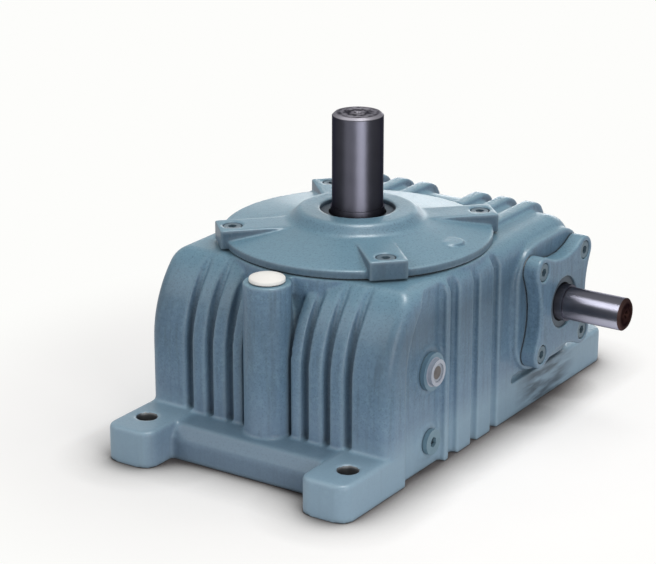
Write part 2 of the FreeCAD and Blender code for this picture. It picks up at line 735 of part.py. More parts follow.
# room inside, cut out before the inner bosses are added
cavity = new_body("cavity")
cavity_sketch = new_sketch(cavity, "YZ_Plane")
cavity_front = groove_y - d.casting_wall
cavity_rear = d.body_rear - d.casting_wall
outline(cavity_sketch, [
    (-cavity_front, d.floor_thickness),
    (cavity_rear, d.floor_thickness),
    (cavity_rear, d.body_height - d.rear_round - d.roof_thickness),
    (cavity_rear - d.rear_round, roof_bottom),
    (floor_setback * 0.75 - cavity_front, roof_bottom),
    (-cavity_front, lean_start),
])
cavity_half = panel_x - d.casting_wall
cavity_pad = extrude(cavity, "Pad", cavity_sketch, cavity_half * 2, symmetric=True)
round_edges(cavity, cavity_pad, d.cavity_round, lambda at: True)
lug_corner = square_root(lug_reach * lug_reach + d.lug_width * d.lug_width / 4)
spot_face = rod("spot_face", lug_corner + d.head_gap, d.lug_rise, (0, 0, d.body_height))
thread_channel = rod(
    "thread_channel", thread_tip + d.thread_room, cavity_half * 2,
    (-cavity_half, d.centre_distance, d.worm_height), LYING_X
)
boss_bottom = d.worm_height - d.boss_half
room = [cavity, thread_channel, spot_face]
for name, x_low, x_high in (
    ("undercut_right", panel_x, boss_face), ("undercut_left", -boss_face, -panel_x)
):
    room.append(block(
        name, x_low, x_high, d.rail_start, d.body_rear, boss_bottom - d.rail_gap, boss_bottom
    ))
hollow = combine("Cut", "hollow_casting", outside, fuse("room", room))

inner_bosses = [hollow]
worm_boss_radius = d.worm_bearing_outer / 2 + d.inner_boss_wall
for name, start in (("inner_boss_right", panel_x - d.inner_boss_reach), ("inner_boss_left", -panel_x)):
    inner_bosses.append(rod(
        name, worm_boss_radius, d.inner_boss_reach, (start, d.centre_distance, d.worm_height), LYING_X
    ))
hub_wall_radius = d.base_bolt_circle + d.small_screw_dia
inner_bosses.append(rod("floor_hub", hub_wall_radius, lower_cone_z - gasket_top_z, (0, 0, gasket_top_z)))

# bores, openings and holes
screw_hole = d.screw_dia / 2 + d.thread_gap
small_hole = d.small_screw_dia / 2 + d.thread_gap
worm_place = (d.centre_distance, d.worm_height)
cuts = [
    rod("worm_bore", d.worm_bearing_outer / 2, boss_face * 2, (-boss_face,) + worm_place, LYING_X),
    rod("lower_bore", d.output_bearing_outer / 2, lower_cone_z, (0, 0, 0)),
    rod("base_recess", d.base_plate_radius + d.head_gap, gasket_top_z, (0, 0, 0)),
    rod("top_opening", cover_opening, d.roof_thickness * 2, (0, 0, roof_bottom)),
    rod("vent_bore", d.vent_hole_radius, d.vent_hole_depth, (0, -tube_place, tube_top - d.vent_hole_depth)),
    rod("vent_passage", d.vent_hole_radius / 2, d.tube_radius * 2,
        (0, -tube_place, tube_top - d.vent_hole_depth + d.vent_hole_radius), LYING_Y),
]
fitting_face_x = panel_x + d.fitting_pad
for label, radius, place, height in (
    ("gauge_hole", d.gauge_stem_radius, d.gauge_place, d.gauge_height),
    ("drain_hole", d.drain_stem_radius, d.drain_place, d.drain_height),
):
    depth = d.casting_wall * 2
    cuts.append(rod(
        label, radius + d.thread_gap, depth, (fitting_face_x - depth, -place, height), LYING_X
    ))
for y in (d.foot_hole_inset - d.foot_front, d.foot_rear - d.foot_hole_inset):
    for way in (-1, 1):
        x = (d.body_half_width - d.foot_hole_edge) * way
        cuts.append(rod("foot_hole", d.foot_hole_dia / 2, d.foot_height, (x, y, 0)))
cover_bolt = cover_bolt_circle / math.sqrt(2)
base_bolt = d.base_bolt_circle / math.sqrt(2)
for x_way in (-1, 1):
    for y_way in (-1, 1):
        depth = d.screw_grip + d.drill_run
        cuts.append(rod(
            "cover_thread", screw_hole, depth, (cover_bolt * x_way, cover_bolt * y_way, d.body_height - depth)
        ))
        cuts.append(rod(
            "base_thread", small_hole, d.small_screw_grip + d.drill_run,
            (base_bolt * x_way, base_bolt * y_way, gasket_top_z)
        ))
        for start in (boss_face - depth, -boss_face):
            cuts.append(rod(
                "worm_thread", screw_hole, depth,
                (start, d.centre_distance + d.worm_bolt_offset * x_way,
                 d.worm_height + d.worm_bolt_offset * y_way), LYING_X
            ))
housing = combine("Cut", "housing", fuse("casting", inner_bosses), fuse("machining", cuts))

# round top cover with its boss, lugs, bearing seat and seal seat
seal_top_z = cover_top_z - d.output_seal_depth
seal_shelf_z = seal_top_z - d.seal_width
spigot_radius = cover_opening - d.fit_clearance
upper_seat = d.output_bearing_outer / 2
cover = turned("output_cover", [
    (upper_seat, upper_cup_z - d.output_cup_width),
    (upper_seat + d.cover_hub_wall, upper_cup_z - d.output_cup_width),
    (upper_seat + d.cover_hub_wall, seat_z - d.cover_plate_drop),
    (spigot_radius - d.cover_spigot_wall, seat_z - d.cover_plate_drop),
    (spigot_radius - d.cover_spigot_wall, d.body_height - d.cover_spigot),
    (spigot_radius, d.body_height - d.cover_spigot),
    (spigot_radius, seat_z),
    (d.cover_radius, seat_z),
    (d.cover_radius, rim_z),
    (d.cover_boss_radius, crown_z),
    (d.cover_boss_top, cover_top_z),
    (d.output_seal_outer / 2, cover_top_z),
    (d.output_seal_outer / 2, seal_shelf_z),
    (d.output_seal_dia / 2 + d.seal_shelf, seal_shelf_z),
    (d.output_seal_dia / 2 + d.seal_shelf, seal_shelf_z - d.seal_shelf),
    (upper_seat - d.output_ring_wall, seal_shelf_z - d.seal_shelf),
    (upper_seat - d.output_ring_wall, upper_cup_z),
    (upper_seat, upper_cup_z),
], rotation=DIAGONAL)
for level, radius, rounding in (
    (crown_z, d.cover_boss_radius, d.cover_boss_foot), (cover_top_z, d.cover_boss_top, d.cover_boss_edge)
):
    round_edges(
        cover, cover.Tip, rounding,
        lambda at: near(at.z, level) and near(math.hypot(at.x, at.y), radius),
    )
lug_sketch = new_sketch(cover, "XY_Plane", (0, 0, seat_z))
rectangle(lug_sketch, upper_seat + 2, lug_reach, -d.lug_width / 2, d.lug_width / 2)
polar(cover, extrude(cover, "Pad", lug_sketch, d.lug_rise), 4)
pad_sketch = new_sketch(cover, "XY_Plane", (0, 0, seat_z))
circle(pad_sketch, pad_reach * cosine(d.pad_angle), -pad_reach * sine(d.pad_angle), d.pad_radius)
pad_top = rim_z + d.cover_crown * (d.cover_radius - pad_reach) / (d.cover_radius - d.cover_boss_radius)
extrude(cover, "Pad", pad_sketch, pad_top + d.pad_rise - seat_z)
recess_depth = d.screw_head_height + d.screw_sink
recess_sketch = new_sketch(cover, "XY_Plane", (0, 0, lug_z))
circle(recess_sketch, cover_bolt_circle, 0, d.screw_head_dia / 2 + d.head_gap)
polar(cover, extrude(cover, "Pocket", recess_sketch, recess_depth), 4)
bolt_sketch = new_sketch(cover, "XY_Plane", (0, 0, lug_z))
circle(bolt_sketch, cover_bolt_circle, 0, screw_hole)
polar(cover, extrude(cover, "Pocket", bolt_sketch, lug_z), 4)


def ring_plate(label, inner, outer, thickness, bolt_radius, hole, place, rotation):
    """Flat ring with four bolt holes, the first on its own X axis."""
    body = new_body(label, place, rotation)
    sketch = new_sketch(body, "XY_Plane")
    circle(sketch, 0, 0, outer)
    circle(sketch, 0, 0, inner)
    extrude(body, "Pad", sketch, thickness)
    holes = new_sketch(body, "XY_Plane", (0, 0, thickness))
    circle(holes, bolt_radius, 0, hole)
    polar(body, extrude(body, "Pocket", holes, thickness), 4)
    return body


cover_gasket = ring_plate(
    "output_cover_gasket", cover_opening, d.cover_radius - d.gasket_inset, d.gasket_thickness,
    cover_bolt_circle, screw_hole, (0, 0, d.body_height), DIAGONAL,
)


def socket_screws(label, bolt_radius, grip, sizes, place, rotation):
    """Four socket screws on a bolt circle. Heads end at the place, shanks run along -Z."""
    dia, head_dia, head_height, hexagon_width, hexagon_depth = sizes
    body = new_body(label, place, rotation)
    sketch = new_sketch(body, "XZ_Plane", (bolt_radius, 0, 0))
    outline(sketch, [
        (0, 0),
        (head_dia / 2, 0),
        (head_dia / 2, -head_height),
        (dia / 2, -head_height),
        (dia / 2, -head_height - grip),
        (0, -head_height - grip),
    ])
    screw = revolve(body, "Revolution", sketch, (sketch, ["V_Axis"]))
    doc.recompute()
    socket = new_sketch(body, "XY_Plane")
    hexagon(socket, bolt_radius, as_size(0), hexagon_width)
    drive = extrude(body, "Pocket", socket, hexagon_depth)
    pattern = polar(body, screw, 4)
    pattern.Originals = [screw, drive]
    return body


cover_screw = (d.screw_dia, d.screw_head_dia, d.screw_head_height, d.screw_hex, d.screw_hex_depth)
base_screw = (d.small_screw_dia, d.small_head_dia, d.small_head_height, d.small_hex, d.small_hex_depth)
cover_grip = lug_z - recess_depth - d.body_height + d.screw_grip
cover_screws = socket_screws(
    "output_cover_screws", cover_bolt_circle, cover_grip, cover_screw,
    (0, 0, lug_z - d.screw_sink), DIAGONAL,
)


def oil_seal(label, shaft_dia, outer_dia, place, rotation):
    """Rubber ring with a lip on the shaft and a groove at the back."""
    inner = shaft_dia / 2 + d.running_clearance
    outer = outer_dia / 2
    lip = (outer - inner) / 3
    return turned(label, [
        (inner, d.seal_width / 2),
        (inner + lip, 0),
        (inner + lip, d.seal_width / 2),
        (outer - lip, d.seal_width / 2),
        (outer - lip, 0),
        (outer, 0),
        (outer, d.seal_width),
        (inner + lip / 2, d.seal_width),
    ], place, rotation)


output_seal = oil_seal("output_oil_seal", d.output_seal_dia, d.output_seal_outer, (0, 0, seal_shelf_z), None)

# bottom cover below the lower bearing
base_cover = turned("bottom_cover", [
    (0, d.base_plate_gap),
    (d.base_plate_radius, d.base_plate_gap),
    (d.base_plate_radius, d.base_plate_gap + d.base_plate_thickness),
    (upper_seat - d.fit_clearance, d.base_plate_gap + d.base_plate_thickness),
    (upper_seat - d.fit_clearance, lower_cup_z),
    (upper_seat - d.output_ring_wall, lower_cup_z),
    (upper_seat - d.output_ring_wall, d.base_plate_gap + d.base_plate_thickness),
    (0, d.base_plate_gap + d.base_plate_thickness),
], rotation=DIAGONAL)
base_recess_depth = d.small_head_height
for radius, depth in ((d.small_head_dia / 2 + d.head_gap, base_recess_depth),
                      (small_hole, d.base_plate_thickness)):
    recess = new_sketch(base_cover, "XY_Plane", (0, 0, d.base_plate_gap))
    circle(recess, d.base_bolt_circle, 0, radius)
    polar(base_cover, extrude(base_cover, "Pocket", recess, depth, reverse=True), 4)
base_gasket = ring_plate(
    "bottom_cover_gasket", upper_seat, d.base_plate_radius, d.gasket_thickness, d.base_bolt_circle,
    small_hole, (0, 0, d.base_plate_gap + d.base_plate_thickness), DIAGONAL,
)
base_grip = gasket_top_z - d.base_plate_gap - base_recess_depth + d.small_screw_grip
base_screws = socket_screws(
    "bottom_cover_screws", d.base_bolt_circle, base_grip, base_screw, (0, 0, d.base_plate_gap),
    UPSIDE_DOWN.multiply(DIAGONAL),
)

# four-eared covers on the worm bosses
ear = d.worm_ear_radius
offset = d.worm_bolt_offset
step = d.worm_cover_waist - offset
scallop = (offset * offset + step * step - ear * ear) / ((ear - step) * 2)
reach = scallop / (scallop + ear)
far = (d.worm_cover_waist + scallop) * (1 - reach) + offset * reach
aside = offset * reach
EARED = [
    (far, aside, scallop, "right"), (aside, far, ear, "left"),
    (-aside, far, scallop, "right"), (-far, aside, ear, "left"),
    (-far, -aside, scallop, "right"), (-aside, -far, ear, "left"),
    (aside, -far, scallop, "right"), (far, -aside, ear, "left"),
]


def eared_plate(label, thickness, place, rotation):
    body = new_body(label, place, rotation)
    sketch = new_sketch(body, "XY_Plane")
    outline(sketch, EARED)
    pad = extrude(body, "Pad", sketch, thickness)
    return body, pad


def bolt_holes(body, radius, top, depth):
    """Four holes at the worm cover bolts, cut down from the given height."""
    sketch = new_sketch(body, "XY_Plane", (0, 0, top))
    for x_way in (-1, 1):
        for y_way in (-1, 1):
            circle(sketch, offset * x_way, offset * y_way, radius)
    return extrude(body, "Pocket", sketch, depth)


def worm_cover(label, thickness, place, rotation):
    """Eared flange with a spigot that holds the bearing cup."""
    body, pad = eared_plate(label, thickness, place, rotation)
    rounded = round_edges(body, pad, d.worm_cover_edge, lambda at: near(at.z, thickness))
    spigot = new_sketch(body, "XY_Plane")
    circle(spigot, 0, 0, d.worm_bearing_outer / 2 - d.fit_clearance)
    circle(spigot, 0, 0, d.worm_bearing_outer / 2 - d.worm_spigot_wall)
    extrude(body, "Pad", spigot, d.worm_spigot, reverse=True)
    bolt_holes(body, d.screw_head_dia / 2 + d.head_gap, thickness, recess_depth)
    bolt_holes(body, screw_hole, thickness, thickness)
    return body


input_cover = worm_cover("input_cover", d.worm_cover_thickness, (worm_seat_x,) + worm_place, ALONG_X)
input_shelf = d.worm_cover_thickness - d.input_seal_depth - d.seal_width
for radius, depth in (
    (d.input_seal_outer / 2, d.input_seal_depth + d.seal_width),
    (d.input_seal_dia / 2 + d.shaft_clearance, d.worm_cover_thickness),
):
    opening = new_sketch(input_cover, "XY_Plane", (0, 0, d.worm_cover_thickness))
    circle(opening, 0, 0, radius)
    extrude(input_cover, "Pocket", opening, depth)
blind_cover = worm_cover("blind_cover", d.blind_cover_thickness, (-worm_seat_x,) + worm_place, AGAINST_X)


def worm_shims(label, place, rotation):
    body, _ = eared_plate(label, d.shim_thickness, place, rotation)
    bolt_holes(body, screw_hole, d.shim_thickness, d.shim_thickness)
    opening = new_sketch(body, "XY_Plane", (0, 0, d.shim_thickness))
    circle(opening, 0, 0, d.worm_bearing_outer / 2)
    extrude(body, "Pocket", opening, d.shim_thickness)
    return body


input_shims = worm_shims("input_cover_shims", (boss_face,) + worm_place, ALONG_X)
blind_shims = worm_shims("blind_cover_shims", (-boss_face,) + worm_place, AGAINST_X)
worm_bolt_radius = offset * math.sqrt(2)
input_grip = d.worm_cover_thickness - recess_depth + d.shim_thickness + d.screw_grip
input_screws = socket_screws(
    "input_cover_screws", worm_bolt_radius, input_grip, cover_screw,
    (input_face_x - d.screw_sink,) + worm_place, ALONG_X.multiply(DIAGONAL),
)
blind_grip = d.blind_cover_thickness - recess_depth + d.shim_thickness + d.screw_grip
blind_screws = socket_screws(
    "blind_cover_screws", worm_bolt_radius, blind_grip, cover_screw,
    (d.screw_sink - worm_seat_x - d.blind_cover_thickness,) + worm_place, AGAINST_X.multiply(DIAGONAL),
)
input_seal = oil_seal(
    "input_oil_seal", d.input_seal_dia, d.input_seal_outer, (worm_seat_x + input_shelf,) + worm_place, ALONG_X
)

# vent cap, oil gauge and drain plug
vent_cap = turned("vent_cap", [
    (0, -d.vent_stem_length),
    (d.vent_hole_radius - d.fit_clearance, -d.vent_stem_length),
    (d.vent_hole_radius - d.fit_clearance, 0),
    (d.vent_cap_radius, 0),
    (d.vent_cap_radius, d.vent_cap_rim),
    (0, d.vent_cap_rim + d.vent_cap_dome,
     (d.vent_cap_radius * d.vent_cap_radius + d.vent_cap_dome * d.vent_cap_dome) / (d.vent_cap_dome * 2),
     "left"),
], (0, -tube_place, tube_top))


def fitting(label, corners, place, height):
    """Turned fitting on the right side panel, its own Z axis pointing out of the casting."""
    return turned(label, corners, (fitting_face_x, -place, height), ALONG_X)


flange_top = d.fitting_washer + d.gauge_flange
gauge_top = flange_top + d.gauge_reach
gauge = fitting("gauge_body", [
    (0, -d.fitting_stem_length),
    (d.gauge_stem_radius, -d.fitting_stem_length),
    (d.gauge_stem_radius, d.fitting_washer),
    (d.gauge_flange_radius, d.fitting_washer),
    (d.gauge_flange_radius, flange_top),
    (d.gauge_radius, flange_top),
    (d.gauge_radius, gauge_top),
    (d.gauge_window_radius, gauge_top),
    (d.gauge_window_radius, gauge_top - d.gauge_window_depth * 1.5),
    (0, gauge_top - d.gauge_window_depth * 1.5),
], d.gauge_place, d.gauge_height)
gauge_window = fitting("gauge_window", [
    (0, gauge_top - d.gauge_window_depth * 1.5),
    (d.gauge_window_radius - d.fit_clearance, gauge_top - d.gauge_window_depth * 1.5),
    (d.gauge_window_radius - d.fit_clearance, gauge_top - d.gauge_window_depth / 2),
    (0, gauge_top - d.gauge_window_depth / 2),
], d.gauge_place, d.gauge_height)
drain_top = d.fitting_washer + d.drain_head
drain = fitting("drain_plug", [
    (0, -d.fitting_stem_length),
    (d.drain_stem_radius, -d.fitting_stem_length),
    (d.drain_stem_radius, d.fitting_washer),
    (d.drain_head_radius, d.fitting_washer),
    (d.drain_head_radius, drain_top),
    (0, drain_top),
], d.drain_place, d.drain_height)
drain_hex_sketch = new_sketch(drain, "XY_Plane", (0, 0, drain_top))
hexagon(drain_hex_sketch, as_size(0), as_size(0), d.drain_hex)
extrude(drain, "Pocket", drain_hex_sketch, d.drain_hex_depth)


def washer(label, inner, outer, place, height):
    gap = d.fit_clearance
    return fitting(label, [
        (inner + gap, 0), (outer, 0), (outer, d.fitting_washer), (inner + gap, d.fitting_washer)
    ], place, height)


gauge_washer = washer(
    "gauge_washer", d.gauge_stem_radius, d.gauge_flange_radius, d.gauge_place, d.gauge_height
)
drain_washer = washer(
    "drain_washer", d.drain_stem_radius, d.drain_head_radius, d.drain_place, d.drain_height
)


def end_keyway(body, radius, start, sizes):
    """Keyway in a shaft end, turned round the shaft from the body's own Y axis."""
    width, depth, length = sizes
    turn = d.keyway_turn
    floor = depth - radius
    sketch = new_sketch(body, "XZ_Plane", (floor * sine(turn), 0, floor * cosine(turn)), turn, (0, 1, 0))
    rectangle(sketch, -width / 2, width / 2, start + depth, start + depth + length)
    extrude(body, "Pocket", sketch, radius)


# worm shaft: plain shaft with the thread wound on its middle
worm_end = d.input_end_dia / 2
worm_journal = d.worm_bearing_bore / 2
worm = turned("worm_shaft", [
    (0, -cup_x),
    (worm_journal, -cup_x),
    (worm_journal, -cone_x),
    (thread_root, -cone_x),
    (thread_root, cone_x),
    (worm_journal, cone_x),
    (worm_journal, cup_x),
    (d.input_seal_dia / 2, cup_x),
    (d.input_seal_dia / 2, input_end_x),
    (worm_end, input_end_x),
    (worm_end, input_tip_x - d.input_chamfer),
    (worm_end - d.input_chamfer, input_tip_x),
    (d.centre_drill, input_tip_x),
    (0, input_tip_x - d.centre_drill * 1.7),
], (0,) + worm_place, ALONG_X)
thread_start = axial_pitch * d.thread_turns / 2
thread_half = axial_pitch / 4 - d.thread_thinning
flank_slope = tangent(d.pressure_angle)
thread_foot = thread_root - 1
foot_half = thread_half + (worm_pitch_radius - thread_foot) * flank_slope
tip_half = thread_half - d.gear_module * flank_slope
doc.recompute()
thread_sketch = new_sketch(worm, "XZ_Plane", (0, -thread_start, 0))
outline(thread_sketch, [
    (thread_foot, -foot_half), (thread_tip, -tip_half), (thread_tip, tip_half), (thread_foot, foot_half)
])
thread = worm.newObject("PartDesign::AdditiveHelix", "worm_thread_form")
thread.Profile = thread_sketch
thread.ReferenceAxis = (thread_sketch, ["V_Axis"])
thread.Mode = "pitch-turns-angle"
bind(thread, "Pitch", axial_pitch)
bind(thread, "Turns", d.thread_turns)
end_keyway(worm, worm_end, input_end_x, (d.input_key_width, d.input_key_depth, d.input_key_length))

# output shaft with its collar, wheel seat and keyways
output_end = d.output_end_dia / 2
output_journal = d.output_bearing_bore / 2
output_seat = d.output_seat_dia / 2
output_shaft = turned("output_shaft", [
    (0, lower_cup_z),
    (output_journal, lower_cup_z),
    (output_journal, lower_cone_z),
    (d.output_collar_dia / 2, lower_cone_z),
    (d.output_collar_dia / 2, hub_bottom_z),
    (output_seat, hub_bottom_z),
    (output_seat, hub_top_z),
    (output_journal, hub_top_z),
    (output_journal, upper_cup_z),
    (d.output_seal_dia / 2, upper_cup_z),
    (d.output_seal_dia / 2, output_end_z),
    (output_end, output_end_z),
    (output_end, output_tip_z - d.output_chamfer),
    (output_end - d.output_chamfer, output_tip_z),
    (d.centre_drill, output_tip_z),
    (0, output_tip_z - d.centre_drill * 1.7),
])
end_keyway(
    output_shaft, output_end, output_end_z, (d.output_key_width, d.output_key_depth, d.output_key_length)
)
hub_middle_z = (hub_bottom_z + hub_top_z) / 2
key_low = hub_middle_z - d.wheel_key_length / 2
key_high = hub_middle_z + d.wheel_key_length / 2
key_floor = output_seat - d.wheel_key_depth
seat_key_sketch = new_sketch(output_shaft, "XZ_Plane", (0, 0, -key_floor))
rectangle(seat_key_sketch, -d.wheel_key_width / 2, d.wheel_key_width / 2, key_low, key_high)
extrude(output_shaft, "Pocket", seat_key_sketch, output_seat)

wheel_key = new_body("wheel_key")
wheel_key_sketch = new_sketch(wheel_key, "XZ_Plane", (0, 0, -key_floor))
rectangle(wheel_key_sketch, -d.wheel_key_width / 2, d.wheel_key_width / 2, key_low, key_high)
extrude(wheel_key, "Pad", wheel_key_sketch, d.wheel_key_height, reverse=True)

wheel_spacer = turned("wheel_spacer", [
    (output_journal, hub_top_z),
    (output_journal + d.spacer_wall, hub_top_z),
    (output_journal + d.spacer_wall, upper_cone_z),
    (output_journal, upper_cone_z),
])

# wheel centre and toothed bronze rim, pressed together and pinned by screws
hub_low = hub_bottom_z - d.worm_height
hub_high = hub_top_z - d.worm_height
wheel_hub = turned("wheel_hub", [
    (output_seat, hub_low),
    (d.hub_radius, hub_low),
    (d.hub_radius, -d.hub_web / 2),
    (rim_seat - d.hub_rim, -d.hub_web / 2),
    (rim_seat - d.hub_rim, -d.rim_width / 2),
    (rim_seat, -d.rim_width / 2),
    (rim_seat, d.rim_width / 2),
    (rim_seat - d.hub_rim, d.rim_width / 2),
    (rim_seat - d.hub_rim, d.hub_web / 2),
    (d.hub_radius, d.hub_web / 2),
    (d.hub_radius, hub_high),
    (output_seat, hub_high),
], (0, 0, d.worm_height), QUARTER_TURN)
hub_key_sketch = new_sketch(wheel_hub, "YZ_Plane", (0, 0, key_floor))
rectangle(hub_key_sketch, -d.wheel_key_width / 2, d.wheel_key_width / 2, hub_low, hub_high)
extrude(wheel_hub, "Pocket", hub_key_sketch, d.wheel_key_height, reverse=True)

throat_radius = d.centre_distance - wheel_throat
rim_outer = wheel_throat + d.rim_overhang
throat_half = square_root(throat_radius * throat_radius - (d.centre_distance - rim_outer)
                          * (d.centre_distance - rim_outer))
wheel_rim = turned("wheel_rim", [
    (rim_seat, -d.rim_width / 2),
    (rim_outer, -d.rim_width / 2),
    (rim_outer, -throat_half),
    (rim_outer, throat_half, throat_radius, "right"),
    (rim_outer, d.rim_width / 2),
    (rim_seat, d.rim_width / 2),
], (0, 0, d.worm_height), QUARTER_TURN)
slot_half = axial_pitch / 4 + d.slot_widening
slot_floor = slot_half - (wheel_pitch_radius - wheel_root) * flank_slope
slot_top = rim_outer + d.rim_overhang
slot_mouth = slot_half + (slot_top - wheel_pitch_radius) * flank_slope
slot_sketch = new_sketch(wheel_rim, "XY_Plane", turn=lead_angle, turn_axis=(-1, 0, 0))
outline(slot_sketch, [
    (wheel_root, -slot_floor), (slot_top, -slot_mouth), (slot_top, slot_mouth), (wheel_root, slot_floor)
])
polar(wheel_rim, extrude(wheel_rim, "Pocket", slot_sketch, d.rim_width * 2, symmetric=True), d.wheel_teeth)

for body in (wheel_hub, wheel_rim):
    screw_sketch = new_sketch(body, "XY_Plane", (0, 0, d.rim_width / 2))
    circle(screw_sketch, rim_seat, 0, d.rim_screw_dia / 2)
    polar(body, extrude(body, "Pocket", screw_sketch, d.rim_screw_length), d.rim_screw_count)
rim_screws = new_body("wheel_rim_screws", (0, 0, d.worm_height), QUARTER_TURN)
rim_screw_sketch = new_sketch(rim_screws, "XY_Plane", (0, 0, d.rim_width / 2))
circle(rim_screw_sketch, rim_seat, 0, d.rim_screw_dia / 2)
polar(rim_screws, extrude(rim_screws, "Pad", rim_screw_sketch, d.rim_screw_length, reverse=True),
      d.rim_screw_count)


def tapered_bearing(name, sizes, place, rotation):
    """Cup, cone, rollers and cage. The cup's back is at z 0, the cone's back at the full width."""
    bore, outer, width, cup_width, cone_width, ring_wall, roller_length, rollers = sizes
    mean = (bore + outer) / 4
    radius = (outer - bore) / 4 - ring_wall
    tilt = d.roller_tilt
    taper = radius * sine(tilt) / mean
    taper_angle = arc_tangent(taper)
    middle = width / 2
    play = radius + d.roller_clearance

    def cup_track(z):
        return mean + play * cosine(tilt) + (z - middle + play * sine(tilt)) * tangent(tilt + taper_angle)

    def cone_track(z):
        return mean - play * cosine(tilt) + (z - middle - play * sine(tilt)) * tangent(tilt - taper_angle)

    cup = turned(f"{name}_cup", [
        (cup_track(as_size(0)), 0),
        (outer / 2, 0),
        (outer / 2, cup_width),
        (cup_track(cup_width), cup_width),
    ], place, rotation)
    small_end = width - cone_width
    rib_z = middle + roller_length / 2 * cosine(tilt) + play * sine(tilt) + d.roller_clearance * 2
    cone = turned(f"{name}_cone", [
        (bore / 2, small_end),
        (cone_track(small_end), small_end),
        (cone_track(rib_z), rib_z),
        (cone_track(rib_z) + d.cone_rib, rib_z),
        (cone_track(rib_z) + d.cone_rib, width),
        (bore / 2, width),
    ], place, rotation)

    def roller_outline(body, gap):
        half = roller_length / 2 + gap
        sketch = new_sketch(body, "XZ_Plane", (mean, middle, 0), tilt, (0, 0, -1))
        outline(sketch, [
            (0, -half), (radius - half * taper + gap, -half), (radius + half * taper + gap, half), (0, half)
        ])
        return sketch

    roller_set = new_body(f"{name}_rollers", place, rotation)
    sketch = roller_outline(roller_set, as_size(0))
    polar(roller_set, revolve(roller_set, "Revolution", sketch, (sketch, ["V_Axis"])), rollers)

    cage = new_body(f"{name}_cage", place, rotation)
    strip = new_sketch(cage, "XZ_Plane", (mean, middle, 0), tilt, (0, 0, -1))
    reach = roller_length / 2 + d.cage_margin
    rectangle(strip, -d.cage_thickness / 2, d.cage_thickness / 2, -reach, reach)
    revolve(cage, "Revolution", strip, (origin_feature(cage, "Z_Axis"), [""]))
    doc.recompute()
    window = roller_outline(cage, d.roller_clearance)
    polar(cage, revolve(cage, "Groove", window, (window, ["V_Axis"])), rollers)
    return [cup, cone, roller_set, cage]


output_bearing = (
    d.output_bearing_bore, d.output_bearing_outer, d.output_bearing_width, d.output_cup_width,
    d.output_cone_width, d.output_ring_wall, d.output_roller_length, d.output_rollers,
)
worm_bearing = (
    d.worm_bearing_bore, d.worm_bearing_outer, d.worm_bearing_width, d.worm_cup_width,
    d.worm_cone_width, d.worm_ring_wall, d.worm_roller_length, d.worm_rollers,
)
bearings = []
for name, sizes, place, rotation in (
    ("lower_bearing", output_bearing, (0, 0, lower_cup_z), None),
    ("upper_bearing", output_bearing, (0, 0, upper_cup_z), UPSIDE_DOWN),
    ("input_bearing", worm_bearing, (cup_x,) + worm_place, AGAINST_X),
    ("blind_bearing", worm_bearing, (-cup_x,) + worm_place, ALONG_X),
):
    bearings += tapered_bearing(name, sizes, place, rotation)

pieces = [
    housing, cover, cover_gasket, cover_screws, output_seal,
    base_cover, base_gasket, base_screws,
    input_cover, input_shims, input_screws, input_seal,
    blind_cover, blind_shims, blind_screws,
    vent_cap, gauge, gauge_window, gauge_washer, drain, drain_washer,
    worm, output_shaft, wheel_key, wheel_spacer, wheel_hub, wheel_rim, rim_screws,
] + bearings

doc.recompute()
for thing in doc.Objects:
    faults = [state for state in thing.State if state in ("Invalid", "Error")]
    if faults:
        raise RuntimeError(f"{thing.Label} did not build: {faults}")
os.makedirs("parts", exist_ok=True)
for piece in pieces:
    if piece.Shape.isNull() or not piece.Shape.isValid() or not piece.Shape.Solids:
        raise RuntimeError(f"{piece.Label} has no valid solid")
    piece.Shape.exportStep(f"parts/{piece.Label}.step")
    print(f"{piece.Label}: {len(piece.Shape.Solids)} solid(s), {piece.Shape.Volume / 1000:.2f} cm3")
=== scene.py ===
import json
import math

import bpy
import numpy as np
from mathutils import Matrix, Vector


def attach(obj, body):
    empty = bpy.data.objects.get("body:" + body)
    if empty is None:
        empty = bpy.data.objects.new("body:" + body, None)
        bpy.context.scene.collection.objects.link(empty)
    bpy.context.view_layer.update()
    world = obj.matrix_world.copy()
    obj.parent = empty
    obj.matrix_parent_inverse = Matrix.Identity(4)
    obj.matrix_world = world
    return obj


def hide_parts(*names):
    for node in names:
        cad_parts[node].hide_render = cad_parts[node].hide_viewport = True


# Worm gear reducer in blue-grey enamel on a white studio floor.
# Metres, in the frame of the solids: Z up along the output shaft, X along the worm.

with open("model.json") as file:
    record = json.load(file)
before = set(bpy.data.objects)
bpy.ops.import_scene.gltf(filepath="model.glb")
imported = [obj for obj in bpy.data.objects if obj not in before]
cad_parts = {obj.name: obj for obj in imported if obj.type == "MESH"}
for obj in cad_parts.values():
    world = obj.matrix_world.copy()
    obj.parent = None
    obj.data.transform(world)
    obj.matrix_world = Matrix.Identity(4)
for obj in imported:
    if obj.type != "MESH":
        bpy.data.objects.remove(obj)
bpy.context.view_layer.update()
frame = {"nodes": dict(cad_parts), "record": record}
nodes = frame["nodes"]

MM = 0.001
PHOTO_WIDTH = 656

# drilled holes of the feet, in millimetres
FOOT_HOLES = [(x, y) for x in (-87, 87) for y in (-146.5, 177.5)]
FOOT_HOLE_RADIUS = 7.5
FOOT_HEIGHT = 27.5
# the bare iron's reach outside the hole's radius, and the painted lip above it
BARE_MARGIN = 0.6
PAINTED_LIP = 1

# inner side of the feet from the middle, in millimetres
FOOT_INNER_SIDE = 64

# middle of the oil stain and painted shade below the input shaft, in millimetres
STAIN_AND_SHADE_MIDDLE = 108

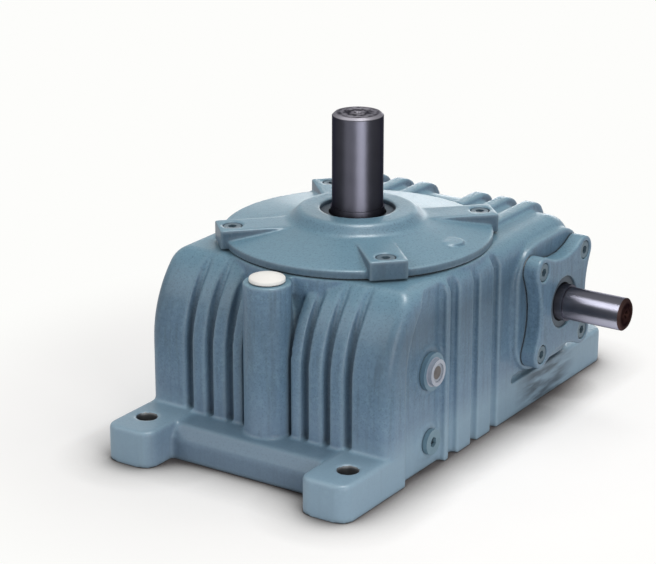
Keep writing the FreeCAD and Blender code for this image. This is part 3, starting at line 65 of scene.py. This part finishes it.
# shafts and oil gauge: a point on the axis, tip and radius, in millimetres
OUTPUT_AXIS = (0, 0, 0)
OUTPUT_TIP = 235.2
OUTPUT_RADIUS = 19
WORM_AXIS = (0, 100, 83)
INPUT_TIP = 173.9
INPUT_RADIUS = 12.5
GAUGE_AXIS = (0, -61, 75)
GAUGE_BARREL_RADIUS = 10.4
GAUGE_OIL_RADIUS = 4.6

# camera of the photograph
CAMERA_AZIMUTH = 33.43
CAMERA_ELEVATION = 19.17
CAMERA_DISTANCE = 1689.33 * MM
CAMERA_TARGET = Vector((-26.10, 0, 99.53)) * MM
FOCAL_PIXELS = 2242.44
SENSOR_WIDTH = 36

# studio: white of the room, its light on the object, and the paper floor in metres
ROOM_WHITE = "#fdfdfb"
ROOM_LIGHT = 0.29
FLOOR_HALF = 6
FLOOR_GLOW = 0.52
SHADOW_REACH = 0.045
FADE_STARTS = 0.21
FADE_ENDS = 0.38
OBJECT_MIDDLE = (0, 0, 0.1)

# sockets of a colour Mix node, whose names repeat
COLOUR_A = 6
COLOUR_B = 7
MIXED = 2


def linear(hex_colour):
    """Linear RGBA of an sRGB hex colour."""
    parts = [int(hex_colour[i:i + 2], 16) / 255 for i in (1, 3, 5)]
    return [p / 12.92 if p <= 0.04045 else ((p + 0.055) / 1.055) ** 2.4 for p in parts] + [1]


def add(tree, kind, inputs=None, **settings):
    """Adds a node. Inputs are sockets, hex colours or numbers, by socket name or place."""
    made = tree.nodes.new(kind)
    for key, value in settings.items():
        setattr(made, key, value)
    for socket, value in (inputs or {}).items():
        if isinstance(value, bpy.types.NodeSocket):
            tree.links.new(value, made.inputs[socket])
        else:
            made.inputs[socket].default_value = linear(value) if isinstance(value, str) else value
    return made


def per_mm(size):
    """Texture scale that gives features of this size in millimetres."""
    return 1 / (size * MM)


def bands_per_mm(size):
    """Wave texture scale that gives bands this far apart in millimetres; scale 1 is 20 radians a metre."""
    return 2 * math.pi / (20 * size * MM)


def new_material(name):
    """An empty material, its node tree and the place on the object in metres."""
    material = bpy.data.materials.new(name)
    material.use_nodes = True
    tree = material.node_tree
    tree.nodes.clear()
    return material, tree, add(tree, "ShaderNodeTexCoord").outputs["Object"]


def off_axis(tree, place, axis, axis_mm):
    """The place as seen from a point on an axis, and its distance from that axis."""
    from_point = add(tree, "ShaderNodeVectorMath", {
        0: place, 1: [size * MM for size in axis_mm],
    }, operation="SUBTRACT").outputs["Vector"]
    across = add(tree, "ShaderNodeVectorMath", {
        0: from_point, 1: [0 if letter == axis else 1 for letter in "XYZ"],
    }, operation="MULTIPLY")
    radius = add(tree, "ShaderNodeVectorMath", {0: across.outputs["Vector"]}, operation="LENGTH")
    return from_point, radius.outputs["Value"]


def enamel_on_cast_iron(name, front_painted_shade, side_painted_shade, upright_painted_shade):
    """Alkyd enamel sprayed on sand-cast iron.

    To the eye: a satin blue-grey, cloudy, with the sand's grain below it, faint streaks down the walls,
    edges paler with worn paint and a painted highlight, and corners greyed by dust and painted shade. Also
    painted:
    light on the tops, lighter and greener, and on the base and feet near the floor; shade on the walls under
    the cover, on the cover's upright sides and on the webs between the feet; and shade with oil smears on
    the input side's rail.
    """
    material, tree, place = new_material(name)
    clouds = add(tree, "ShaderNodeTexNoise", {"Vector": place, "Scale": per_mm(45), "Detail": 3})
    mottle = add(tree, "ShaderNodeTexNoise", {
        "Vector": place, "Scale": per_mm(4), "Detail": 4,
    }).outputs["Fac"]
    # sand grain is about 0.4 mm; drawn at 1.4 mm so that it shows at this distance
    grain = add(tree, "ShaderNodeTexNoise", {
        "Vector": place, "Scale": per_mm(1.4), "Detail": 2,
    }).outputs["Fac"]
    swell = add(tree, "ShaderNodeTexNoise", {"Vector": place, "Scale": per_mm(9), "Detail": 2})
    # oil runs down the walls in streaks about 4 mm wide and 60 mm long
    down_walls = add(tree, "ShaderNodeVectorMath", {0: place, 1: [1, 1, 0.07]}, operation="MULTIPLY")
    runs = add(tree, "ShaderNodeTexNoise", {
        "Vector": down_walls.outputs["Vector"], "Scale": per_mm(4), "Detail": 3,
    }).outputs["Fac"]
    # on the rail it lies in smears about 5 mm wide and 30 mm long
    along_rail = add(tree, "ShaderNodeVectorMath", {0: place, 1: [1, 0.16, 1]}, operation="MULTIPLY")
    smears = add(tree, "ShaderNodeTexNoise", {
        "Vector": along_rail.outputs["Vector"], "Scale": per_mm(5), "Detail": 5,
    }).outputs["Fac"]

    spot = add(tree, "ShaderNodeSeparateXYZ", {"Vector": place})
    rightward = spot.outputs["X"]
    height = spot.outputs["Z"]
    off_middle = add(tree, "ShaderNodeMath", {0: rightward}, operation="ABSOLUTE").outputs[0]
    from_stain_and_shade = add(tree, "ShaderNodeMath", {
        0: spot.outputs["Y"], 1: STAIN_AND_SHADE_MIDDLE * MM,
    }, operation="SUBTRACT")
    off_stain_and_shade = add(tree, "ShaderNodeMath", {0: from_stain_and_shade.outputs[0]}, operation="ABSOLUTE").outputs[0]
    surface = add(tree, "ShaderNodeNewGeometry")
    edge = surface.outputs["Pointiness"]
    upward = add(tree, "ShaderNodeSeparateXYZ", {"Vector": surface.outputs["Normal"]}).outputs["Z"]
    corner = add(tree, "ShaderNodeAmbientOcclusion", {"Distance": 8 * MM}, samples=8).outputs["AO"]
    wall_painted_shade = add(tree, "ShaderNodeMapRange", {
        "Value": off_middle, "From Min": 84 * MM, "From Max": 98 * MM,
        "To Min": front_painted_shade, "To Max": side_painted_shade,
    }).outputs["Result"]

    # each layer: its tone, the most of it that shows, and what it follows, from none of it to all
    layers = (
        # pale blotches
        ("#7897a9", 0.4, [(mottle, 0.45, 0.75)]),
        # painted light: tops lighter and greener, as lit from above
        ("#6993a3", 0.58, [(upward, 0.25, 0.85)]),
        # pits between the grains
        ("#41586a", 0.42, [(grain, 0.5, 0.72)]),
        # painted shade: upright sides darker
        ("#2f4350", upright_painted_shade, [(upward, 0.8, 0.35)]),
        # painted shade: walls darker between base and cover, more on the sides than the front
        ("#2f4354", wall_painted_shade, [(height, 136 * MM, 112 * MM), (height, 55 * MM, 108 * MM)]),
        # streaks down the walls
        ("#3f4f5a", 0.4, [(upward, 0.5, 0.2), (runs, 0.5, 0.75)]),
        # painted light: lighter towards the floor, as lit by the floor
        ("#8f9fb4", 0.42, [(height, 66 * MM, 8 * MM)]),
        # painted light: more of it on the feet
        ("#8fa9b9", 0.55, [
            (off_middle, (FOOT_INNER_SIDE - 3) * MM, (FOOT_INNER_SIDE + 5) * MM),
            (height, 42 * MM, 22 * MM),
        ]),
        # painted shade: webs between the feet darker
        ("#4a5f70", 0.42, [
            (off_middle, FOOT_INNER_SIDE * MM, (FOOT_INNER_SIDE - 6) * MM),
            (height, 31 * MM, 26 * MM),
        ]),
        # oil smears from the input seal and painted shade on the rail below the input cover
        ("#303a45", 0.72, [
            (off_stain_and_shade, 50 * MM, 20 * MM),
            (height, 38 * MM, 30 * MM),
            (rightward, 90 * MM, 96 * MM),
            (smears, 0.36, 0.6),
        ]),
        # edges paler: worn paint, partly a painted highlight
        ("#a3b8c4", 0.4, [(edge, 0.5, 0.6)]),
        # dust and painted shade in the corners
        ("#59646b", 0.5, [(corner, 0.75, 0.25)]),
    )
    colour = add(tree, "ShaderNodeMix", {
        "Factor": clouds.outputs["Fac"], COLOUR_A: "#58728a", COLOUR_B: "#627e95",
    }, data_type="RGBA").outputs[MIXED]
    for tone, share, follows in layers:
        for value, none, full in follows:
            share = add(tree, "ShaderNodeMapRange", {
                "Value": value, "From Min": none, "From Max": full, "To Min": 0, "To Max": share,
            }).outputs["Result"]
        colour = add(tree, "ShaderNodeMix", {
            "Factor": share, COLOUR_A: colour, COLOUR_B: tone,
        }, data_type="RGBA").outputs[MIXED]

    satin = add(tree, "ShaderNodeMapRange", {"Value": mottle, "To Min": 0.38, "To Max": 0.54})
    coarse = add(tree, "ShaderNodeBump", {
        "Height": swell.outputs["Fac"], "Distance": 0.35 * MM, "Strength": 0.5,
    }).outputs["Normal"]
    fine = add(tree, "ShaderNodeBump", {
        "Height": grain, "Distance": 0.18 * MM, "Strength": 0.6, "Normal": coarse,
    })
    shader = add(tree, "ShaderNodeBsdfPrincipled", {
        "Base Color": colour, "Roughness": satin.outputs["Result"], "Normal": fine.outputs["Normal"],
        "IOR": 1.5, "Specular IOR Level": 0.25,
        "Coat Weight": 0.12, "Coat Roughness": 0.2, "Coat Normal": coarse,
    })
    add(tree, "ShaderNodeOutputMaterial", {"Surface": shader.outputs["BSDF"]})
    return material


def turned_steel(name, axis, axis_mm, tip_mm, radius_mm, side_tones, end_tones, rim, slant, roughness):
    """Shaft steel turned on a lathe, with a stained end face.

    To the eye: gloss drawn out along the shaft by fine tool marks, cloudy stains, a mottled end
    with a paler rim and bevel, a painted highlight. A film of oxide and oil dims the gloss at a slant.
    """
    material, tree, place = new_material(name)
    # tool feed is about 0.15 mm; drawn at 0.9 mm so that it shows
    marks = add(tree, "ShaderNodeTexWave", {
        "Vector": place, "Scale": bands_per_mm(0.9), "Distortion": 1.5, "Detail": 2, "Detail Scale": 0.1,
    }, wave_type="BANDS", bands_direction=axis)
    stains = add(tree, "ShaderNodeTexNoise", {
        "Vector": place, "Scale": per_mm(14), "Detail": 5,
    }).outputs["Fac"]
    from_point, radius = off_axis(tree, place, axis, axis_mm)
    # facing cuts of the end, drawn about 8 mm apart and broken up by stains
    rings = add(tree, "ShaderNodeTexWave", {
        "Vector": from_point, "Scale": bands_per_mm(8), "Distortion": 5, "Detail": 3, "Detail Scale": 6,
    }, wave_type="RINGS", rings_direction=axis)

    # the end is the face with its bevel, and the centre hole, which lies within 6 mm of the axis
    along = add(tree, "ShaderNodeSeparateXYZ", {"Vector": place})
    face = add(tree, "ShaderNodeMapRange", {
        "Value": along.outputs[axis], "From Min": (tip_mm - 1.8) * MM, "From Max": (tip_mm - 1.4) * MM,
    })
    centre_hole = add(tree, "ShaderNodeMapRange", {
        "Value": radius, "From Min": 6.5 * MM, "From Max": 6 * MM,
    })
    end = add(tree, "ShaderNodeMath", {
        0: face.outputs["Result"], 1: centre_hole.outputs["Result"],
    }, operation="MAXIMUM").outputs[0]
    # painted highlight: the rim and bevel of the end take the paler rim tone
    lit_rim = add(tree, "ShaderNodeMapRange", {
        "Value": radius, "From Min": (radius_mm - 4.5) * MM, "From Max": (radius_mm - 2.5) * MM,
    })

    side_low, side_high = side_tones
    side_colour = add(tree, "ShaderNodeMix", {
        "Factor": stains, COLOUR_A: side_low, COLOUR_B: side_high,
    }, data_type="RGBA").outputs[MIXED]
    end_low, end_high = end_tones
    face_colour = add(tree, "ShaderNodeMix", {
        "Factor": rings.outputs["Fac"], COLOUR_A: end_low, COLOUR_B: end_high,
    }, data_type="RGBA").outputs[MIXED]
    end_colour = add(tree, "ShaderNodeMix", {
        "Factor": lit_rim.outputs["Result"], COLOUR_A: face_colour, COLOUR_B: rim,
    }, data_type="RGBA").outputs[MIXED]
    colour = add(tree, "ShaderNodeMix", {
        "Factor": end, COLOUR_A: side_colour, COLOUR_B: end_colour,
    }, data_type="RGBA").outputs[MIXED]

    gloss = add(tree, "ShaderNodeMapRange", {
        "Value": stains, "To Min": roughness - 0.05, "To Max": roughness + 0.07,
    })
    dull = add(tree, "ShaderNodeMapRange", {
        "Value": end, "To Min": gloss.outputs["Result"], "To Max": 0.6,
    })
    tool_path = add(tree, "ShaderNodeTangent", direction_type="RADIAL", axis=axis)
    bump = add(tree, "ShaderNodeBump", {
        "Height": marks.outputs["Fac"], "Distance": 0.02 * MM, "Strength": 0.35,
    })
    shader = add(tree, "ShaderNodeBsdfPrincipled", {
        "Base Color": colour, "Metallic": 1, "Roughness": dull.outputs["Result"],
        "Normal": bump.outputs["Normal"], "Anisotropic": 0.6, "Anisotropic Rotation": 0.25,
        "Tangent": tool_path.outputs["Tangent"], "Specular Tint": slant,
    })
    add(tree, "ShaderNodeOutputMaterial", {"Surface": shader.outputs["BSDF"]})
    return material


def small_part(name, low, high, patch_mm, grain_mm, depth_mm, metallic, roughness, ior=1.5):
    """Finish of a small part: cloudy tone and gloss, a fine grain, and painted shade in its sockets.

    The grain is drawn coarser than it is, so that it shows.
    """
    material, tree, place = new_material(name)
    patches = add(tree, "ShaderNodeTexNoise", {
        "Vector": place, "Scale": per_mm(patch_mm), "Detail": 4,
    }).outputs["Fac"]
    grain = add(tree, "ShaderNodeTexNoise", {"Vector": place, "Scale": per_mm(grain_mm), "Detail": 2})
    clean = add(tree, "ShaderNodeMix", {
        "Factor": patches, COLOUR_A: low, COLOUR_B: high,
    }, data_type="RGBA").outputs[MIXED]
    # painted shade: ambient occlusion darkens sockets and recesses to near black
    recess = add(tree, "ShaderNodeAmbientOcclusion", {"Distance": 3 * MM}, samples=8)
    painted_socket_shade = add(tree, "ShaderNodeMapRange", {
        "Value": recess.outputs["AO"], "From Min": 0.4, "From Max": 0.72, "To Min": 0.95, "To Max": 0,
    })
    colour = add(tree, "ShaderNodeMix", {
        "Factor": painted_socket_shade.outputs["Result"], COLOUR_A: clean, COLOUR_B: "#121416",
    }, data_type="RGBA").outputs[MIXED]
    gloss = add(tree, "ShaderNodeMapRange", {
        "Value": patches, "To Min": roughness - 0.07, "To Max": roughness + 0.07,
    })
    bump = add(tree, "ShaderNodeBump", {
        "Height": grain.outputs["Fac"], "Distance": depth_mm * MM, "Strength": 0.5,
    })
    shader = add(tree, "ShaderNodeBsdfPrincipled", {
        "Base Color": colour, "Metallic": metallic, "Roughness": gloss.outputs["Result"],
        "Normal": bump.outputs["Normal"], "IOR": ior,
    })
    add(tree, "ShaderNodeOutputMaterial", {"Surface": shader.outputs["BSDF"]})
    return material


def gauge_glass():
    """Pressed glass with oil behind it and a pale ground edge: glossy, grey-brown, a little rippled."""
    material, tree, place = new_material("pressed_gauge_glass")
    ripple = add(tree, "ShaderNodeTexNoise", {
        "Vector": place, "Scale": per_mm(5), "Detail": 1,
    }).outputs["Fac"]
    radius = off_axis(tree, place, "X", GAUGE_AXIS)[1]
    ground_edge = add(tree, "ShaderNodeMapRange", {
        "Value": radius, "From Min": GAUGE_OIL_RADIUS * MM, "From Max": (GAUGE_OIL_RADIUS + 0.7) * MM,
    })
    oil = add(tree, "ShaderNodeMix", {
        "Factor": ripple, COLOUR_A: "#3d3838", COLOUR_B: "#5c5655",
    }, data_type="RGBA").outputs[MIXED]
    colour = add(tree, "ShaderNodeMix", {
        "Factor": ground_edge.outputs["Result"], COLOUR_A: oil, COLOUR_B: "#8c939e",
    }, data_type="RGBA").outputs[MIXED]
    bump = add(tree, "ShaderNodeBump", {"Height": ripple, "Distance": 0.1 * MM, "Strength": 0.3})
    shader = add(tree, "ShaderNodeBsdfPrincipled", {
        "Base Color": colour, "Roughness": 0.12, "Normal": bump.outputs["Normal"],
        "IOR": 1.52, "Specular IOR Level": 0.3,
    })
    add(tree, "ShaderNodeOutputMaterial", {"Surface": shader.outputs["BSDF"]})
    return material


def oversprayed_gauge():
    """Die-cast zinc gauge: the flange is under the housing's enamel, the wiped barrel is bare and pale."""
    material, tree, place = new_material("die_cast_zinc_with_overspray")
    blotch = add(tree, "ShaderNodeTexNoise", {
        "Vector": place, "Scale": per_mm(5), "Detail": 4,
    }).outputs["Fac"]
    radius = off_axis(tree, place, "X", GAUGE_AXIS)[1]
    paint = add(tree, "ShaderNodeMapRange", {
        "Value": radius, "From Min": GAUGE_BARREL_RADIUS * MM, "From Max": (GAUGE_BARREL_RADIUS + 0.6) * MM,
    })
    zinc = add(tree, "ShaderNodeMix", {
        "Factor": blotch, COLOUR_A: "#8b92a0", COLOUR_B: "#a8aeba",
    }, data_type="RGBA").outputs[MIXED]
    colour = add(tree, "ShaderNodeMix", {
        "Factor": paint.outputs["Result"], COLOUR_A: zinc, COLOUR_B: "#607c8e",
    }, data_type="RGBA").outputs[MIXED]
    bump = add(tree, "ShaderNodeBump", {"Height": blotch, "Distance": 0.06 * MM, "Strength": 0.5})
    shader = add(tree, "ShaderNodeBsdfPrincipled", {
        "Base Color": colour, "Roughness": 0.4, "Metallic": 0.15, "Normal": bump.outputs["Normal"],
    })
    add(tree, "ShaderNodeOutputMaterial", {"Surface": shader.outputs["BSDF"]})
    return material


# painted shade: on the housing's walls, and on the top cover's upright sides
housing_enamel = enamel_on_cast_iron("enamel_painted_cast_iron", 0.22, 0.56, 0)
cover_enamel = enamel_on_cast_iron("enamel_painted_cover_iron", 0, 0, 0.58)
end_cover_enamel = enamel_on_cast_iron("enamel_painted_end_cover_iron", 0, 0, 0)

# finish of each slot; a small part's tones are followed by its patches, grain and depth in millimetres,
# its metal share and its roughness
FINISHES = {
    "enamel_casting": housing_enamel,
    "zinc_alloy": oversprayed_gauge(),
    "gauge_glass": gauge_glass(),
    # shafts: the output nearly black, the input brighter with a rusty end; each rim tone is a painted
    # highlight
    "blued_steel": turned_steel(
        "blackened_turned_steel", "Z", OUTPUT_AXIS, OUTPUT_TIP, OUTPUT_RADIUS,
        ("#2b2b31", "#36363d"), ("#28262b", "#848289"), "#8a888f", "#acacb2", 0.42,
    ),
    "ground_steel": turned_steel(
        "ground_shaft_steel", "X", WORM_AXIS, INPUT_TIP, INPUT_RADIUS,
        ("#55555e", "#64646d"), ("#1d1110", "#33221f"), "#3f302e", "#b4b4b8", 0.3,
    ),
    # cover screws, drain plug, washers and gaskets, caught in the spray: dull blue-grey
    "black_screws": small_part("oversprayed_socket_screw", "#4c606d", "#5c717e", 4, 0.6, 0.05, 0.1, 0.45),
    "zinc_steel": small_part("oversprayed_zinc_plated_steel", "#5f7a89", "#74909f", 4, 0.7, 0.06, 0.1, 0.42),
    "copper_washer": small_part("oversprayed_copper", "#56707f", "#637e8d", 4, 0.6, 0.05, 0.1, 0.45),
    "gasket_paper": small_part("oversprayed_gasket_paper", "#35424b", "#414f58", 5, 0.7, 0.06, 0, 0.85),
    # bare metals: dull grey iron, warm bronze, grey steel, bright bearing rings and rollers, duller cages
    "machined_iron": small_part("machined_cast_iron", "#55575a", "#6a6c6e", 8, 0.8, 0.04, 0.9, 0.5),
    "bronze": small_part("centrifugally_cast_bronze", "#94733c", "#a98549", 10, 0.8, 0.03, 1, 0.38),
    "plain_steel": small_part("drawn_steel", "#808285", "#96989a", 6, 0.6, 0.02, 1, 0.38),
    "bearing_steel": small_part("ground_bearing_steel", "#a5a7aa", "#b6b8ba", 9, 0.6, 0.01, 1, 0.2),
    "cage_steel": small_part("pressed_cage_steel", "#77777a", "#8a8a8c", 5, 0.6, 0.02, 1, 0.42),
    # seals dull and dusty, the vent cap smooth and milky
    "nitrile": small_part("dusty_moulded_nitrile_rubber", "#3e4953", "#4f5b66", 5, 0.6, 0.05, 0, 0.6),
    "white_plastic": small_part("moulded_polyethylene", "#ece9e3", "#f7f5f1", 7, 1.2, 0.06, 0, 0.42, 1.51),
}

slot_of = {entry["node"]: entry["material_slot"] for entry in frame["record"]["subparts"]}
for name, piece in nodes.items():
    piece.data.materials.clear()
    piece.data.materials.append(FINISHES[slot_of[name]])


def moulded_skin(node, voxel_mm, passes, paint):
    """The piece's own skin: the solid's form with every edge run round by its mould."""
    skin = bpy.data.objects.new(f"{node}_skin", nodes[node].data.copy())
    bpy.context.scene.collection.objects.link(skin)
    remesh = skin.modifiers.new("skin", "REMESH")
    remesh.mode = "VOXEL"
    remesh.voxel_size = voxel_mm * MM
    soften = skin.modifiers.new("soften", "SMOOTH")
    soften.factor = 0.5
    soften.iterations = passes
    graph = bpy.context.evaluated_depsgraph_get()
    mesh = bpy.data.meshes.new_from_object(skin.evaluated_get(graph))
    skin.modifiers.clear()
    skin.data = mesh
    mesh.materials.clear()
    mesh.materials.append(paint)
    mesh.polygons.foreach_set("use_smooth", [True] * len(mesh.polygons))
    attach(skin, "casing")
    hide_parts(node)
    return skin


def bare_bores(skin):
    """Foot holes are drilled after painting, so their walls are bare iron."""
    mesh = skin.data
    mesh.materials.append(FINISHES["machined_iron"])
    centres = np.empty(len(mesh.polygons) * 3)
    mesh.polygons.foreach_get("center", centres)
    centres = centres.reshape(-1, 3) / MM
    below_lip = centres[:, 2] < FOOT_HEIGHT - PAINTED_LIP
    bare = np.zeros(len(centres), dtype=np.int32)
    for x, y in FOOT_HOLES:
        away = np.hypot(centres[:, 0] - x, centres[:, 1] - y)
        bare[(away < FOOT_HOLE_RADIUS + BARE_MARGIN) & below_lip] = 1
    mesh.polygons.foreach_set("material_index", bare)


castings = [
    moulded_skin("housing", 1.4, 5, housing_enamel),
    moulded_skin("output_cover", 1.2, 4, cover_enamel),
    moulded_skin("input_cover", 0.8, 3, end_cover_enamel),
    moulded_skin("blind_cover", 0.8, 3, end_cover_enamel),
]
bare_bores(castings[0])
vent_cap = moulded_skin("vent_cap", 0.4, 14, FINISHES["white_plastic"])


def seen_rays(tree):
    """One where the camera sees a thing straight, mirrored or through glass, and nought elsewhere."""
    path = add(tree, "ShaderNodeLightPath")
    direct = add(tree, "ShaderNodeMath", {
        0: path.outputs["Is Camera Ray"], 1: path.outputs["Is Glossy Ray"],
    }, operation="MAXIMUM")
    return add(tree, "ShaderNodeMath", {
        0: direct.outputs[0], 1: path.outputs["Is Transmission Ray"],
    }, operation="MAXIMUM").outputs[0]


def studio_floor():
    """Matt white paper floor. The camera sees it lifted to white; it keeps the lamps' shadow and a painted
    contact shadow.
    """
    mesh = bpy.data.meshes.new("floor")
    corners = [(-1, -1), (1, -1), (1, 1), (-1, 1)]
    mesh.from_pydata([(x * FLOOR_HALF, y * FLOOR_HALF, 0) for x, y in corners], [], [(0, 1, 2, 3)])
    floor = bpy.data.objects.new("floor", mesh)
    bpy.context.scene.collection.objects.link(floor)
    material, tree, place = new_material("matt_white_paper")
    fibre = add(tree, "ShaderNodeTexNoise", {"Vector": place, "Scale": per_mm(60), "Detail": 2})
    seen = seen_rays(tree)

    # painted shadow: ambient occlusion darkens the paper and its glow near the object
    gap = add(tree, "ShaderNodeAmbientOcclusion", {"Distance": SHADOW_REACH}, samples=16)
    open_sky = add(tree, "ShaderNodeMapRange", {
        "Value": gap.outputs["AO"], "From Min": 0.48, "From Max": 1,
    }).outputs["Result"]
    sheet = add(tree, "ShaderNodeMix", {
        "Factor": fibre.outputs["Fac"], COLOUR_A: "#c3c1bf", COLOUR_B: "#c7c5c3",
    }, data_type="RGBA").outputs[MIXED]
    shaded = add(tree, "ShaderNodeMix", {
        "Factor": open_sky, COLOUR_A: "#6a6462", COLOUR_B: sheet,
    }, data_type="RGBA").outputs[MIXED]

    # unseen, the paper throws its full white back at the object
    tone = add(tree, "ShaderNodeMix", {
        "Factor": seen, COLOUR_A: "#f1efed", COLOUR_B: shaded,
    }, data_type="RGBA").outputs[MIXED]
    paper = add(tree, "ShaderNodeBsdfDiffuse", {"Color": tone})
    lift = add(tree, "ShaderNodeMath", {0: seen, 1: open_sky}, operation="MULTIPLY")
    strength = add(tree, "ShaderNodeMath", {0: lift.outputs[0], 1: FLOOR_GLOW}, operation="MULTIPLY")
    glow = add(tree, "ShaderNodeEmission", {"Strength": strength.outputs[0]})
    near = add(tree, "ShaderNodeAddShader", {0: paper.outputs[0], 1: glow.outputs[0]})

    # beyond the object's shadow the paper runs into the white of the room
    distance = add(tree, "ShaderNodeVectorMath", {0: place}, operation="LENGTH")
    far = add(tree, "ShaderNodeMapRange", {
        "Value": distance.outputs["Value"], "From Min": FADE_STARTS, "From Max": FADE_ENDS,
    }, interpolation_type="SMOOTHSTEP")
    far_seen = add(tree, "ShaderNodeMath", {0: far.outputs["Result"], 1: seen}, operation="MULTIPLY")
    white = add(tree, "ShaderNodeEmission", {"Color": ROOM_WHITE})
    sweep = add(tree, "ShaderNodeMixShader", {
        0: far_seen.outputs[0], 1: near.outputs[0], 2: white.outputs[0],
    })
    add(tree, "ShaderNodeOutputMaterial", {"Surface": sweep.outputs[0]})
    mesh.materials.append(material)


def studio_world():
    """White room: full white where it is seen or mirrored, softer where it lights the object."""
    world = bpy.data.worlds.new("white_room")
    bpy.context.scene.world = world
    world.use_nodes = True
    tree = world.node_tree
    tree.nodes.clear()
    strength = add(tree, "ShaderNodeMapRange", {
        "Value": seen_rays(tree), "To Min": ROOM_LIGHT, "To Max": 1,
    })
    room = add(tree, "ShaderNodeBackground", {
        "Color": ROOM_WHITE, "Strength": strength.outputs["Result"],
    })
    add(tree, "ShaderNodeOutputWorld", {"Surface": room.outputs[0]})


def softbox(name, place, size, watts, lights=True, mirrored=True, only=(), aim=OBJECT_MIDDLE):
    """Studio lamp at a place in metres, aimed at another.

    It lights the object, shows in its gloss, or both. A lamp for some pieces is shaded off the rest.
    """
    lamp = bpy.data.lights.new(name, "AREA")
    lamp.shape = "RECTANGLE"
    lamp.size, lamp.size_y = size
    lamp.energy = watts
    holder = bpy.data.objects.new(name, lamp)
    holder.location = place
    holder.rotation_euler = (Vector(aim) - holder.location).to_track_quat("-Z", "Y").to_euler()
    holder.visible_camera = False
    holder.visible_diffuse = lights
    holder.visible_glossy = mirrored
    if only:
        lit = bpy.data.collections.new(f"{name}_lit")
        for piece in only:
            lit.objects.link(piece)
        holder.light_linking.receiver_collection = lit
    bpy.context.scene.collection.objects.link(holder)


studio_floor()
studio_world()
whole_object = [*nodes.values(), *castings, vent_cap]
output_shaft = [nodes["output_shaft"]]
worm_shaft = [nodes["worm_shaft"]]
softbox("key_right", (0.79, -0.53, 0.38), (0.4, 0.65), 4)
softbox("overhead", (0.2, 0.64, 1.4), (1.2, 1.2), 12, mirrored=False)
softbox("left_fill", (-1, -1.4, 1.3), (1, 1), 13, only=whole_object)
softbox("back_sheen", (-0.62, 1.55, 0.3), (1, 0.25), 5.5, lights=False)
softbox("spark", (0.1, 0.1, 1.6), (0.45, 0.45), 30, lights=False, only=castings)
softbox("output_strip", (0.46, -0.43, 0.2), (0.45, 0.4), 13, only=output_shaft)
softbox("output_fill", (0, -0.62, 0.2), (0.6, 0.4), 3.7, only=output_shaft)
softbox("input_strip", (-0.33, -0.46, 0.88), (0.45, 0.72), 10, only=worm_shaft)
# lit like a white card on the floor below the input shaft
softbox("input_card", (0.15, 0.085, 0.012), (0.08, 0.12), 0.1, only=worm_shaft, aim=(0.15, 0.1, 0.083))


def photo_camera():
    """Camera at the photograph's angle, distance and focal length."""
    azimuth = math.radians(CAMERA_AZIMUTH)
    elevation = math.radians(CAMERA_ELEVATION)
    back = Vector((
        math.sin(azimuth) * math.cos(elevation),
        -math.cos(azimuth) * math.cos(elevation),
        math.sin(elevation),
    ))
    data = bpy.data.cameras.new("photo_camera")
    data.sensor_width = SENSOR_WIDTH
    data.lens = FOCAL_PIXELS * SENSOR_WIDTH / PHOTO_WIDTH
    data.clip_end = 50
    camera = bpy.data.objects.new("photo_camera", data)
    camera.location = CAMERA_TARGET + back * CAMERA_DISTANCE
    camera.rotation_euler = (-back).to_track_quat("-Z", "Y").to_euler()
    bpy.context.scene.collection.objects.link(camera)
    bpy.context.scene.camera = camera


photo_camera()
bpy.context.scene.view_settings.view_transform = "Standard"
